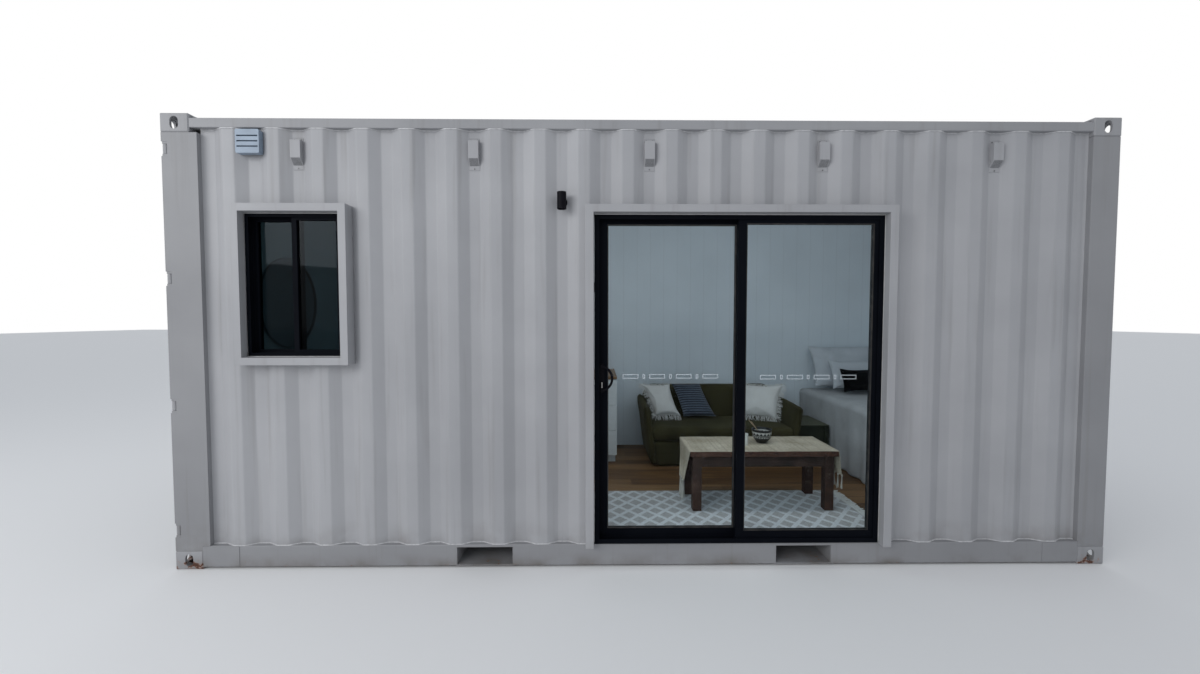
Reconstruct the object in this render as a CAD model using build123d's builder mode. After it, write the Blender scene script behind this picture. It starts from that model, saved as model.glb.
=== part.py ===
from build123d import *
from math import ceil, radians, sin, cos
import os

os.makedirs("parts", exist_ok=True)

# Container shell, millimetres, measured over the corner castings.
# X runs along the container, Y from the glazed front to the back, Z up.
container_length = 6058
container_width = 2438
container_height = 2896
surround_projection = 65

# Sides of small round bars and holes, and of the larger round pieces
bar_sides = 12
round_sides = 24

# Corner castings
casting_length = 178
casting_width = 162
casting_height = 118
casting_edge = 6
casting_plate = 28
casting_wall = 16
aperture_length = 124
aperture_width = 63.5
side_hole_height = 79
side_hole_width = 51

# Bottom of the container
rail_clearance = 14
bottom_rail_height = 138
bottom_rail_flange = 48
bottom_rail_lip = 30
bottom_rail_steel = 4.5
rail_recess = 4
fish_plate_length = 232
fish_plate_thickness = 3
pocket_width = 360
pocket_height = 115
pocket_spacing = 2080
pocket_steel = 6
member_height = 118
member_flange = 45
member_steel = 4
member_pitch = 280
floor_thickness = 28
floor_edge_gap = 2

# Top of the container
top_drop = 28
top_rail = 60
top_rail_steel = 3
gusset_length = 65
gusset_thickness = 6

# Corner posts
post_recess = 3
door_post_width = 225
door_post_depth = 162
door_post_setback = 50
door_post_throat = 100
blank_post_width = 178
post_shoulder = 45
post_steel = 6

# Corrugated steel
sheet = 2
wall_recess = 6
wall_pitch = 278
wall_crest = 72
wall_slope = 68
wall_depth = 36
end_pitch = 250
end_crest = 110
end_slope = 18
end_depth = 45.6
roof_pitch = 209
roof_crest = 91
roof_slope = 13.5
roof_depth = 20
roof_rise = 3

# Cargo-door end
header_height = 108
header_depth = 54
end_rail_recess = 8
leaf_recess = 46
leaf_thickness = 50
leaf_frame = 100
leaf_gap = 8
leaf_corrugations = 3
leaf_panel_recess = 6
leaf_crest = 72
leaf_slope = 40
leaf_depth = 36
lock_rod = 34
lock_rod_recess = 25
lock_rod_inset = 250
bracket_height = 60
bracket_width = 90
bracket_steel = 6
cam_length = 70
cam_width = 60
cam_nose = 34
cam_steel = 26
handle_bracket_gap = 90
catch_inset = 60
catch_width = 44
catch_height = 86
catch_gap = 3
catch_reach = 9
keeper_steel = 12
keeper_height = 56
keeper_gap = 2
handle_length = 480
handle_height = 1180
handle_stagger = 150
handle_bar = 28
handle_steel = 10
hinge_count = 4
hinge_first = 255
hinge_spacing = 807
hinge_height = 90
hinge_width = 40
hinge_knuckle = 36
hinge_pin = 14
hinge_lug = 14
hinge_blade = 12
hinge_gap = 1
hinge_reach = 150

# Openings in the front wall
surround_depth = 113
window_surround_face = 47
window_width = 602
window_height = 896
window_post_gap = 236
door_surround_face = 52
door_surround_head = 48
door_width = 1845
door_height = 2115
door_left = -327
frame_clearance = 5
door_sill_gap = 8
surround_steel = 3
packer_length = 60
packer_depth = 40
packer_spacing = 1200

# Aluminium door and window sections
frame_recess = -10
frame_depth = 102
frame_base = 6
frame_lip = 4
door_lip_height = 30
window_lip_height = 22
middle_lip = 47
panel_thickness = 34
outer_track = 10
inner_track = 57
lock_stile = 73
meeting_stile = 53
fixed_stile = 48
top_rail_width = 40
bottom_rail_width = 64
panel_overlap = 55
panel_clearance = 5
fixed_panel_clearance = 2
glass_thickness = 6
surface_set = 10
sliding_extra = 20
sash_stile = 32
sash_rail = 32

# Door furniture
handle_plate_width = 34
handle_plate_height = 190
handle_plate_thickness = 5
handle_center = 1231
handle_bow = 66
handle_grip = 16
handle_standoff = 24
lock_barrel = 17

# Ventilators, exhaust cover and wall light
vent_step = 4
vent_count = 5
vent_plate_width = 68
vent_plate_height = 200
vent_plate = 2
vent_hood_width = 64
vent_hood_height = 152
vent_hood_depth = 34
vent_hood_lip = 41
vent_hood_top = 20
vent_gap = 50
exhaust_size = 146
exhaust_gap = 90
exhaust_depth = 40
exhaust_frame = 8
exhaust_blades = 4
exhaust_slot = 9
exhaust_slot_depth = 20
exhaust_slot_rise = 10
exhaust_neck = 60
exhaust_neck_length = 22
light_step = -2
light_width = 58
light_height = 106
light_gap = 450
light_projection = 90
light_base = 66
light_base_thickness = 8
light_arm = 24
light_shade_wall = 4
light_shade_depth = 22

# Interior linings
lining_face = 90
lining_thickness = 12
door_end_lining_face = 142
ceiling_gap = 168
panel_joint = 2

# Furniture
sofa_left = 120
sofa_width = 1610
sofa_back_gap = 18
sofa_depth = 830
sofa_arm = 66
sofa_flare = 95
sofa_arm_height = 620
sofa_arm_drop = 25
sofa_seat_height = 385
sofa_back_height = 730
sofa_back_depth = 190
sofa_corner = 45
sofa_shoulder = 150
table_left = 380
table_length = 1100
table_front = 422
table_depth = 450
table_height = 460
table_top = 38
table_leg = 65
table_leg_inset = 24
table_apron = 88
table_apron_thickness = 28
runner_width = 440
runner_thickness = 3
runner_left_drop = 250
runner_right_drop = 190
bowl_x = 994
bowl_depth_position = 680
bowl_diameter = 156
bowl_height = 108
bowl_foot = 74
bowl_wall = 6
bowl_belly = 0.86
bowl_belly_level = 0.38
candle_x = 832
candle_diameter = 62
candle_height = 88
candle_depth_position = 610
rug_left = -520
rug_length = 2150
rug_front = 130
rug_width = 750
rug_thickness = 8
side_table_left = 1702
side_table_width = 292
side_table_setback = 120
side_table_depth = 480
side_table_height = 385
side_table_top = 24
side_table_leg = 40
side_table_panel = 16
side_table_foot = 50
bed_left = 2000
bed_front = 330
bed_height = 655
bed_corner = 60
wall_gap = 3
pillow_width = 720
pillow_height = 510
pillow_thickness = 130
pillow_lean = 24
pillow_inset = 50
second_pillow = 0.69
bolster_left = 2210
bolster_width = 440
bolster_height = 270
bolster_thickness = 110
cushion_thickness = 105
cushion_lean = 32
cushion_rise = 388
cushion_width = 273
cushion_top_width = 318
cushion_shift = 132
cushion_gap = 25
small_cushion_width = 340
small_cushion_top_width = 305
small_cushion_shift = 98
large_cushion_width = 455
large_cushion_turn = 22
large_cushion_lean = 25
large_cushion_rise = 376
large_cushion_shift = 52
cushion_arm_gap = 72
cushion_forward = 258
large_cushion_forward = 190
cabinet_right = -118
cabinet_length = 1200
cabinet_depth = 690
cabinet_height = 840
cabinet_kick = 110
cabinet_kick_recess = 45
worktop = 30
worktop_overhang = 12
cabinet_door_gap = 4
cabinet_door = 18
mirror_diameter = 750
mirror_depth_position = 990
mirror_height = 1748
mirror_rim = 10
mirror_thickness = 22

# Planes and levels that follow from the sizes above
end_x = container_length / 2
front_y = (surround_projection - container_width) / 2
back_y = front_y + container_width
mid_y = front_y + container_width / 2
across = Plane.XZ.offset(-mid_y)
rail_top = rail_clearance + bottom_rail_height
top_level = container_height - top_drop
wall_top = top_level - top_rail
wall_left = -end_x + door_post_width
wall_right = end_x - blank_post_width
wall_center = (wall_left + wall_right) / 2
ceiling_height = top_level - ceiling_gap
vent_top = wall_top - vent_gap
exhaust_center = wall_top - exhaust_gap
light_center = wall_top - light_gap
post_bottom = casting_height
post_top = container_height - casting_height
floor_top = rail_top - bottom_rail_steel + floor_thickness
room_left = -end_x + door_end_lining_face
room_right = end_x - lining_face
room_front = front_y + lining_face
room_back = back_y - lining_face


def facade(depth):
    """Upright plane facing the front, a depth behind the front castings."""
    return Plane.XZ.offset(-(front_y + depth))


def corrugated_outline(center, half_span, base, inward, pitch, crest, slope, depth):
    """Closed outline of a bent sheet: crests on base, troughs inward, one trough at center."""
    trough = pitch - crest - 2 * slope
    count = ceil(half_span / pitch) + 1
    outer = []
    for step in range(-count, count + 1):
        middle = center + step * pitch
        outer.append((middle - trough / 2 - slope, base))
        outer.append((middle - trough / 2, base + inward * depth))
        outer.append((middle + trough / 2, base + inward * depth))
        outer.append((middle + trough / 2 + slope, base))
    inner = [(along, level + inward * sheet) for along, level in reversed(outer)]
    return outer + inner


def slot_hole(length, width, rotation=0):
    """Slot of an overall length and width, its rounded ends many-sided."""
    with Locations(Rotation(0, 0, rotation)):
        with GridLocations(length - width, 0, 2, 1):
            RegularPolygon(width / 2, bar_sides)
    make_hull()


# Corner castings: hollow steel blocks with a lifting aperture and two side holes
with BuildPart() as bottom_corner_castings:
    with Locations((end_x - casting_length / 2, front_y + casting_width / 2, casting_height / 2)):
        Box(casting_length, casting_width, casting_height)
        chamfer(bottom_corner_castings.edges(), casting_edge)
        Box(
            casting_length - 2 * casting_wall,
            casting_width - 2 * casting_wall,
            casting_height - 2 * casting_plate,
            mode=Mode.SUBTRACT,
        )
    casting_middle = (end_x - casting_length / 2, front_y + casting_width / 2, casting_height / 2)
    with BuildSketch(Plane(casting_middle)):
        slot_hole(aperture_length, aperture_width)
    extrude(amount=-casting_height / 2, mode=Mode.SUBTRACT)
    with BuildSketch(Plane(casting_middle, x_dir=(1, 0, 0), z_dir=(0, -1, 0))):
        slot_hole(side_hole_height, side_hole_width, rotation=90)
    extrude(amount=casting_width / 2, mode=Mode.SUBTRACT)
    with BuildSketch(Plane(casting_middle, x_dir=(0, 1, 0), z_dir=(1, 0, 0))):
        slot_hole(side_hole_height, side_hole_width, rotation=90)
    extrude(amount=casting_length / 2, mode=Mode.SUBTRACT)
    mirror(about=Plane.YZ)
    mirror(about=across)
bottom_corner_castings.part.label = "bottom_corner_castings"
export_step(bottom_corner_castings.part, "parts/bottom_corner_castings.step")

with BuildPart() as top_corner_castings:
    add(bottom_corner_castings.part)
    mirror(about=Plane.XY.offset(container_height / 2), mode=Mode.REPLACE)
top_corner_castings.part.label = "top_corner_castings"
export_step(top_corner_castings.part, "parts/top_corner_castings.step")

# Posts at the cargo-door end: stepped hollow section with a pocket for each hinge
door_post_outline = [
    (-end_x + door_post_setback, front_y + post_recess),
    (wall_left, front_y + post_recess),
    (wall_left, front_y + post_shoulder),
    (-end_x + door_post_throat, front_y + post_shoulder),
    (-end_x + door_post_throat, front_y + door_post_depth),
    (-end_x + door_post_setback, front_y + door_post_depth),
]
hinge_levels = [hinge_first + step * hinge_spacing for step in range(hinge_count)]
pin_x = -end_x + leaf_recess - hinge_blade - hinge_knuckle / 2 + hinge_blade / 3
pin_y = front_y + post_shoulder / 2
with BuildPart() as door_end_posts:
    with BuildSketch(Plane.XY.offset(post_bottom)):
        with BuildLine():
            Polyline(*door_post_outline, close=True)
        make_face()
        offset(amount=-post_steel, kind=Kind.INTERSECTION, mode=Mode.SUBTRACT)
    extrude(amount=post_top - post_bottom)
    with Locations((-end_x + post_recess, front_y + post_recess, post_bottom)):
        Box(
            door_post_setback,
            post_steel,
            post_top - post_bottom,
            align=(Align.MIN, Align.MIN, Align.MIN),
        )
    with Locations((-end_x + casting_length, front_y, post_bottom)):
        Box(
            door_post_width,
            casting_width,
            rail_top - post_bottom,
            align=(Align.MIN, Align.MIN, Align.MIN),
            mode=Mode.SUBTRACT,
        )
    for level in hinge_levels:
        with Locations((-end_x, front_y, level)):
            Box(
                hinge_width,
                post_shoulder,
                hinge_height,
                align=(Align.MIN, Align.MIN, Align.CENTER),
                mode=Mode.SUBTRACT,
            )
        for side in (-1, 1):
            with Locations((-end_x + door_post_setback, pin_y, level + side * (hinge_height - hinge_lug) / 2)):
                Box(
                    door_post_setback + post_steel / 2 - hinge_blade,
                    hinge_knuckle,
                    hinge_lug,
                    align=(Align.MAX, Align.CENTER, Align.CENTER),
                )
        with BuildSketch(Plane((pin_x, pin_y, level - hinge_height / 2))):
            RegularPolygon(hinge_pin / 2 + hinge_gap, bar_sides)
        extrude(amount=hinge_height, mode=Mode.SUBTRACT)
    mirror(about=across)
door_end_posts.part.label = "door_end_posts"
export_step(door_end_posts.part, "parts/door_end_posts.step")

# Posts at the blank end: one pressed section, open towards the inside corner
blank_post_outline = [
    (end_x - post_recess, front_y + post_recess),
    (wall_right, front_y + post_recess),
    (wall_right, front_y + post_shoulder),
    (end_x - door_post_throat, front_y + post_shoulder),
    (end_x - post_shoulder, front_y + door_post_throat),
    (end_x - post_shoulder, front_y + blank_post_width),
    (end_x - post_recess, front_y + blank_post_width),
]
with BuildPart() as blank_end_posts:
    with BuildSketch(Plane.XY.offset(post_bottom)):
        with BuildLine():
            Polyline(*blank_post_outline, close=True)
        make_face()
        offset(amount=-post_steel, kind=Kind.INTERSECTION, mode=Mode.SUBTRACT)
    extrude(amount=post_top - post_bottom)
    with Locations((end_x, front_y + casting_width, post_bottom)):
        Box(
            door_post_throat,
            casting_width,
            rail_top - post_bottom,
            align=(Align.MAX, Align.MIN, Align.MIN),
            mode=Mode.SUBTRACT,
        )
    mirror(about=across)
blank_end_posts.part.label = "blank_end_posts"
export_step(blank_end_posts.part, "parts/blank_end_posts.step")

# Bottom side rails: pressed channels with fork-pocket cut-outs and end fish plates
rail_length = container_length - 2 * casting_length
rail_face = front_y + rail_recess
with BuildPart() as bottom_side_rails:
    with BuildSketch(Plane.YZ.offset(-rail_length / 2)):
        with BuildLine():
            Polyline(
                (rail_face, rail_clearance),
                (rail_face + bottom_rail_lip, rail_clearance),
                (rail_face + bottom_rail_lip, rail_clearance + bottom_rail_steel),
                (rail_face + bottom_rail_steel, rail_clearance + bottom_rail_steel),
                (rail_face + bottom_rail_steel, rail_top - bottom_rail_steel),
                (rail_face + bottom_rail_flange, rail_top - bottom_rail_steel),
                (rail_face + bottom_rail_flange, rail_top),
                (rail_face, rail_top),
                close=True,
            )
        make_face()
    extrude(amount=rail_length)
    fillet(bottom_side_rails.edges().filter_by(Axis.X).group_by(Axis.Y)[0], bottom_rail_steel)
    fish_plate_x = (rail_length - fish_plate_length) / 2
    fish_plate_y = rail_face - fish_plate_thickness
    with Locations(
        (-fish_plate_x, fish_plate_y, rail_clearance + bottom_rail_height / 2),
        (fish_plate_x, fish_plate_y, rail_clearance + bottom_rail_height / 2),
    ):
        Box(
            fish_plate_length,
            fish_plate_thickness + bottom_rail_steel,
            bottom_rail_height - 2 * bottom_rail_steel,
            align=(Align.CENTER, Align.MIN, Align.CENTER),
        )
    with Locations(
        (-pocket_spacing / 2, rail_face, rail_clearance),
        (pocket_spacing / 2, rail_face, rail_clearance),
    ):
        Box(
            pocket_width + 2 * pocket_steel,
            bottom_rail_flange,
            pocket_height + 2 * pocket_steel,
            align=(Align.CENTER, Align.MIN, Align.MIN),
            mode=Mode.SUBTRACT,
        )
    mirror(about=across)
bottom_side_rails.part.label = "bottom_side_rails"
export_step(bottom_side_rails.part, "parts/bottom_side_rails.step")

# Top side rails: square tubes with a sloping gusset at each casting
with BuildPart() as top_side_rails:
    with BuildSketch(Plane.YZ.offset(-rail_length / 2)):
        with Locations((rail_face + top_rail / 2, top_level - top_rail / 2)):
            RectangleRounded(top_rail, top_rail, top_rail_steel * 2)
            Rectangle(top_rail - 2 * top_rail_steel, top_rail - 2 * top_rail_steel, mode=Mode.SUBTRACT)
    extrude(amount=rail_length)
    for side in (-1, 1):
        with BuildSketch(facade(rail_recess + top_rail / 2 - gusset_thickness / 2)):
            with BuildLine():
                Polyline(
                    (side * rail_length / 2, top_level - top_rail_steel / 2),
                    (side * rail_length / 2, container_height - casting_edge),
                    (side * (rail_length / 2 - gusset_length), top_level - top_rail_steel / 2),
                    close=True,
                )
            make_face()
        extrude(amount=-gusset_thickness)
    mirror(about=across)
top_side_rails.part.label = "top_side_rails"
export_step(top_side_rails.part, "parts/top_side_rails.step")

# Sill and header between the cargo-door posts
cross_length = container_width - 2 * casting_width
header_level = top_level - header_height
leaf_bottom = rail_top + leaf_gap
leaf_top = header_level - leaf_gap
leaf_height = leaf_top - leaf_bottom
leaf_width = (container_width - 2 * door_post_depth - 3 * leaf_gap) / 2
leaf_middle = front_y + door_post_depth + leaf_gap + leaf_width / 2
leaf_x = -end_x + leaf_recess
leaf_inner = leaf_width - 2 * leaf_frame
leaf_pitch = leaf_inner / leaf_corrugations
rod_x = -end_x + lock_rod_recess
rod_places = [leaf_middle - leaf_width / 2 + lock_rod_inset, leaf_middle + leaf_width / 2 - lock_rod_inset]
rod_bottom = rail_clearance + bottom_rail_height / 2
rod_top = header_level + header_height / 2
with BuildPart() as door_end_rails:
    with BuildSketch(facade(casting_width)):
        header_x = -end_x + leaf_recess + header_depth / 2
        with Locations((header_x, top_level - header_height / 2)):
            Rectangle(header_depth, header_height)
            Rectangle(header_depth - 2 * member_steel, header_height - 2 * member_steel, mode=Mode.SUBTRACT)
        with Locations((header_x, rail_clearance + bottom_rail_height / 2)):
            Rectangle(header_depth, bottom_rail_height)
            Rectangle(
                header_depth - 2 * member_steel,
                bottom_rail_height - 2 * member_steel,
                mode=Mode.SUBTRACT,
            )
    extrude(amount=-cross_length)
    for place in rod_places:
        for side in (-1, 1):
            keeper_y = place + side * (cam_length / 2 + keeper_gap + keeper_steel / 2)
            for level in (rod_bottom + cam_width / 2, rod_top - cam_width / 2):
                with Locations((-end_x + leaf_recess, keeper_y, level)):
                    Box(
                        leaf_recess - lock_rod_recess + lock_rod / 2,
                        keeper_steel,
                        keeper_height,
                        align=(Align.MAX, Align.CENTER, Align.CENTER),
                    )
    mirror(about=across)
door_end_rails.part.label = "door_end_rails"
export_step(door_end_rails.part, "parts/door_end_rails.step")

# Top and bottom rails of the blank end
with BuildPart() as blank_end_rails:
    with BuildSketch(facade(casting_width)):
        with Locations((end_x - end_rail_recess - top_rail / 2, top_level - top_rail / 2)):
            Rectangle(top_rail, top_rail)
            Rectangle(top_rail - 2 * top_rail_steel, top_rail - 2 * top_rail_steel, mode=Mode.SUBTRACT)
        with Locations((end_x - end_rail_recess - top_rail / 2, rail_clearance + bottom_rail_height / 2)):
            Rectangle(top_rail, bottom_rail_height)
            Rectangle(
                top_rail - 2 * bottom_rail_steel,
                bottom_rail_height - 2 * bottom_rail_steel,
                mode=Mode.SUBTRACT,
            )
    extrude(amount=-cross_length)
blank_end_rails.part.label = "blank_end_rails"
export_step(blank_end_rails.part, "parts/blank_end_rails.step")

# Fork pockets: two steel tunnels from side to side
with BuildPart() as fork_pockets:
    with BuildSketch(facade(rail_recess)):
        pocket_level = rail_clearance + pocket_steel + pocket_height / 2
        with Locations((-pocket_spacing / 2, pocket_level), (pocket_spacing / 2, pocket_level)):
            Rectangle(pocket_width + 2 * pocket_steel, pocket_height + 2 * pocket_steel)
            Rectangle(pocket_width, pocket_height, mode=Mode.SUBTRACT)
    extrude(amount=-(container_width - 2 * rail_recess))
fork_pockets.part.label = "fork_pockets"
export_step(fork_pockets.part, "parts/fork_pockets.step")

# Floor cross members: channels spaced between and outside the fork pockets
member_level = rail_top - bottom_rail_steel - member_height
member_length = container_width - 2 * (rail_recess + bottom_rail_flange)
inner_reach = (pocket_spacing - pocket_width) / 2 - pocket_steel - member_flange
outer_start = (pocket_spacing + pocket_width) / 2 + pocket_steel + member_flange
outer_reach = end_x - casting_length - member_flange - outer_start
inner_steps = int(inner_reach // member_pitch)
outer_steps = int(outer_reach // member_pitch)
member_places = [step * member_pitch for step in range(-inner_steps, inner_steps + 1)]
member_places += [outer_start + step * member_pitch for step in range(outer_steps + 1)]
member_places += [-outer_start - step * member_pitch for step in range(outer_steps + 1)]
with BuildPart() as cross_members:
    with BuildSketch(facade(rail_recess + bottom_rail_flange)):
        for place in member_places:
            with Locations((place, member_level + member_height / 2)):
                Rectangle(member_flange, member_height)
            with Locations((place + member_steel, member_level + member_height / 2)):
                Rectangle(member_flange, member_height - 2 * member_steel, mode=Mode.SUBTRACT)
    extrude(amount=-member_length)
cross_members.part.label = "cross_members"
export_step(cross_members.part, "parts/cross_members.step")

# Floor: plywood deck notched for the door frame
floor_front = front_y + rail_recess + bottom_rail_flange + floor_edge_gap
floor_back = back_y - rail_recess - bottom_rail_flange - floor_edge_gap
floor_left = -end_x + leaf_recess + header_depth + floor_edge_gap
floor_right = end_x - end_rail_recess - top_rail - floor_edge_gap
frame_left = door_left
frame_right = door_left + door_width
frame_bottom = rail_top + door_sill_gap
frame_top = frame_bottom + door_height
frame_back = front_y + frame_recess + frame_depth
post_corner = door_post_throat + post_shoulder
floor_corner = end_rail_recess + top_rail + rail_recess + bottom_rail_flange + 2 * floor_edge_gap
with BuildPart() as floor:
    with BuildSketch(Plane.XY.offset(floor_top - floor_thickness)) as floor_outline:
        with BuildLine():
            Polyline(
                (floor_left, floor_front),
                (frame_left - panel_joint, floor_front),
                (frame_left - panel_joint, frame_back + panel_joint),
                (frame_right + panel_joint, frame_back + panel_joint),
                (frame_right + panel_joint, floor_front),
                (floor_right, floor_front),
                (floor_right, floor_back),
                (floor_left, floor_back),
                close=True,
            )
        make_face()
        chamfer(
            floor_outline.vertices().group_by(Axis.X)[-1],
            post_corner - floor_corner + 2 * floor_edge_gap,
        )
    extrude(amount=floor_thickness)
floor.part.label = "floor"
export_step(floor.part, "parts/floor.step")

# Side walls: one corrugated section, cut to length for each welded panel
wall_height = wall_top - rail_top
half_wall = (wall_right - wall_left) / 2
wall_band = wall_depth + 2 * sheet
front_crest = front_y + wall_recess
back_crest = back_y - wall_recess
with BuildSketch() as front_section:
    with BuildLine():
        Polyline(
            *corrugated_outline(
                wall_center, half_wall, front_crest, 1, wall_pitch, wall_crest, wall_slope, wall_depth
            ),
            close=True,
        )
    make_face()

# Boxed openings: outer edges of the two steel surrounds
window_hole_width = window_width + 2 * frame_clearance
window_hole_height = window_height + 2 * frame_clearance
surround_top = frame_top + frame_clearance + door_surround_head
window_hole_top = surround_top - window_surround_face
window_outer_left = wall_left + window_post_gap
window_center = window_outer_left + window_surround_face + window_hole_width / 2
window_outer_right = window_center + window_hole_width / 2 + window_surround_face
window_outer_bottom = window_hole_top - window_hole_height - window_surround_face
window_level = window_hole_top - window_hole_height / 2
door_outer_left = frame_left - frame_clearance - door_surround_face
door_outer_right = frame_right + frame_clearance + door_surround_face

with BuildPart() as front_wall_left:
    with BuildSketch(Plane.XY.offset(rail_top)):
        add(front_section.sketch)
        with Locations(((wall_left + window_outer_left) / 2, front_crest + wall_depth / 2)):
            Rectangle(window_outer_left - wall_left, 2 * wall_band, mode=Mode.INTERSECT)
    extrude(amount=wall_height)
front_wall_left.part.label = "front_wall_left"
export_step(front_wall_left.part, "parts/front_wall_left.step")

with BuildPart() as front_wall_at_window:
    with BuildSketch(Plane.XY.offset(rail_top)):
        add(front_section.sketch)
        with Locations((window_center, front_crest + wall_depth / 2)):
            Rectangle(window_outer_right - window_outer_left, 2 * wall_band, mode=Mode.INTERSECT)
    extrude(amount=wall_height)
    with Locations((window_center, front_crest + wall_depth / 2, (surround_top + window_outer_bottom) / 2)):
        Box(
            window_outer_right - window_outer_left + wall_band,
            2 * wall_band,
            surround_top - window_outer_bottom,
            mode=Mode.SUBTRACT,
        )
front_wall_at_window.part.label = "front_wall_at_window"
export_step(front_wall_at_window.part, "parts/front_wall_at_window.step")

with BuildPart() as front_wall_middle:
    with BuildSketch(Plane.XY.offset(rail_top)):
        add(front_section.sketch)
        with Locations(((window_outer_right + door_outer_left) / 2, front_crest + wall_depth / 2)):
            Rectangle(door_outer_left - window_outer_right, 2 * wall_band, mode=Mode.INTERSECT)
    extrude(amount=wall_height)
front_wall_middle.part.label = "front_wall_middle"
export_step(front_wall_middle.part, "parts/front_wall_middle.step")

with BuildPart() as front_wall_over_door:
    with BuildSketch(Plane.XY.offset(surround_top)):
        add(front_section.sketch)
        with Locations(((door_outer_left + door_outer_right) / 2, front_crest + wall_depth / 2)):
            Rectangle(door_outer_right - door_outer_left, 2 * wall_band, mode=Mode.INTERSECT)
    extrude(amount=wall_top - surround_top)
front_wall_over_door.part.label = "front_wall_over_door"
export_step(front_wall_over_door.part, "parts/front_wall_over_door.step")

with BuildPart() as front_wall_right:
    with BuildSketch(Plane.XY.offset(rail_top)):
        add(front_section.sketch)
        with Locations(((door_outer_right + wall_right) / 2, front_crest + wall_depth / 2)):
            Rectangle(wall_right - door_outer_right, 2 * wall_band, mode=Mode.INTERSECT)
    extrude(amount=wall_height)
front_wall_right.part.label = "front_wall_right"
export_step(front_wall_right.part, "parts/front_wall_right.step")

with BuildPart() as back_wall:
    with BuildSketch(Plane.XY.offset(rail_top)):
        with BuildLine():
            Polyline(
                *corrugated_outline(
                    wall_center, half_wall, back_crest, -1, wall_pitch, wall_crest, wall_slope, wall_depth
                ),
                close=True,
            )
        make_face()
        with Locations((wall_center, back_crest - wall_depth / 2)):
            Rectangle(wall_right - wall_left, 2 * wall_band, mode=Mode.INTERSECT)
    extrude(amount=wall_height)
back_wall.part.label = "back_wall"
export_step(back_wall.part, "parts/back_wall.step")

# Blank end: corrugated wall between the two pressed posts
end_wall_width = container_width - 2 * blank_post_width
end_crest_x = end_x - end_rail_recess - post_recess
with BuildPart() as blank_end_wall:
    with BuildSketch(Plane((end_crest_x, mid_y, rail_top), x_dir=(0, 1, 0), z_dir=(0, 0, 1))):
        with BuildLine():
            Polyline(
                *corrugated_outline(
                    0, end_wall_width / 2, 0, 1, end_pitch, end_crest, end_slope, end_depth
                ),
                close=True,
            )
        make_face()
        Rectangle(end_wall_width, 4 * end_depth, mode=Mode.INTERSECT)
    extrude(amount=wall_height)
blank_end_wall.part.label = "blank_end_wall"
export_step(blank_end_wall.part, "parts/blank_end_wall.step")

# Roof: sheet ribbed from side to side, between the top rails
roof_left = -end_x + leaf_recess + header_depth
roof_right = end_x - end_rail_recess - top_rail
roof_level = top_level + roof_rise
with BuildPart() as roof:
    with BuildSketch(facade(rail_recess + top_rail)):
        with BuildLine():
            Polyline(
                *corrugated_outline(
                    (roof_left + roof_right) / 2,
                    (roof_right - roof_left) / 2,
                    roof_level,
                    -1,
                    roof_pitch,
                    roof_crest,
                    roof_slope,
                    roof_depth,
                ),
                close=True,
            )
        make_face()
        with Locations(((roof_left + roof_right) / 2, roof_level - roof_depth / 2)):
            Rectangle(roof_right - roof_left, 4 * roof_depth, mode=Mode.INTERSECT)
    extrude(amount=-(container_width - 2 * (rail_recess + top_rail)))
    for side in (-1, 1):
        with Locations((side * end_x, front_y, roof_level)):
            Box(
                2 * (casting_length + floor_edge_gap),
                2 * (casting_width + floor_edge_gap),
                4 * roof_depth,
                mode=Mode.SUBTRACT,
            )
        with Locations((side * end_x, back_y, roof_level)):
            Box(
                2 * (casting_length + floor_edge_gap),
                2 * (casting_width + floor_edge_gap),
                4 * roof_depth,
                mode=Mode.SUBTRACT,
            )
roof.part.label = "roof"
export_step(roof.part, "parts/roof.step")

# Cargo doors, shut: steel frame around a corrugated panel
with BuildPart() as cargo_door_left:
    with BuildSketch(Plane.YZ.offset(leaf_x)):
        with Locations((leaf_middle, (leaf_bottom + leaf_top) / 2)):
            Rectangle(leaf_width, leaf_height)
            Rectangle(leaf_inner, leaf_height - 2 * leaf_frame, mode=Mode.SUBTRACT)
    extrude(amount=leaf_thickness)
    panel_origin = (leaf_x + leaf_panel_recess, leaf_middle, leaf_bottom + leaf_frame)
    with BuildSketch(Plane(panel_origin, x_dir=(0, -1, 0), z_dir=(0, 0, 1))):
        with BuildLine():
            Polyline(
                *corrugated_outline(
                    0, leaf_inner / 2, 0, 1, leaf_pitch, leaf_crest, leaf_slope, leaf_depth
                ),
                close=True,
            )
        make_face()
        Rectangle(leaf_inner, 4 * leaf_depth, mode=Mode.INTERSECT)
    extrude(amount=leaf_height - 2 * leaf_frame)
cargo_door_left.part.label = "cargo_door_left"
export_step(cargo_door_left.part, "parts/cargo_door_left.step")

with BuildPart() as cargo_door_right:
    add(cargo_door_left.part)
    mirror(about=across, mode=Mode.REPLACE)
cargo_door_right.part.label = "cargo_door_right"
export_step(cargo_door_right.part, "parts/cargo_door_right.step")

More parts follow.
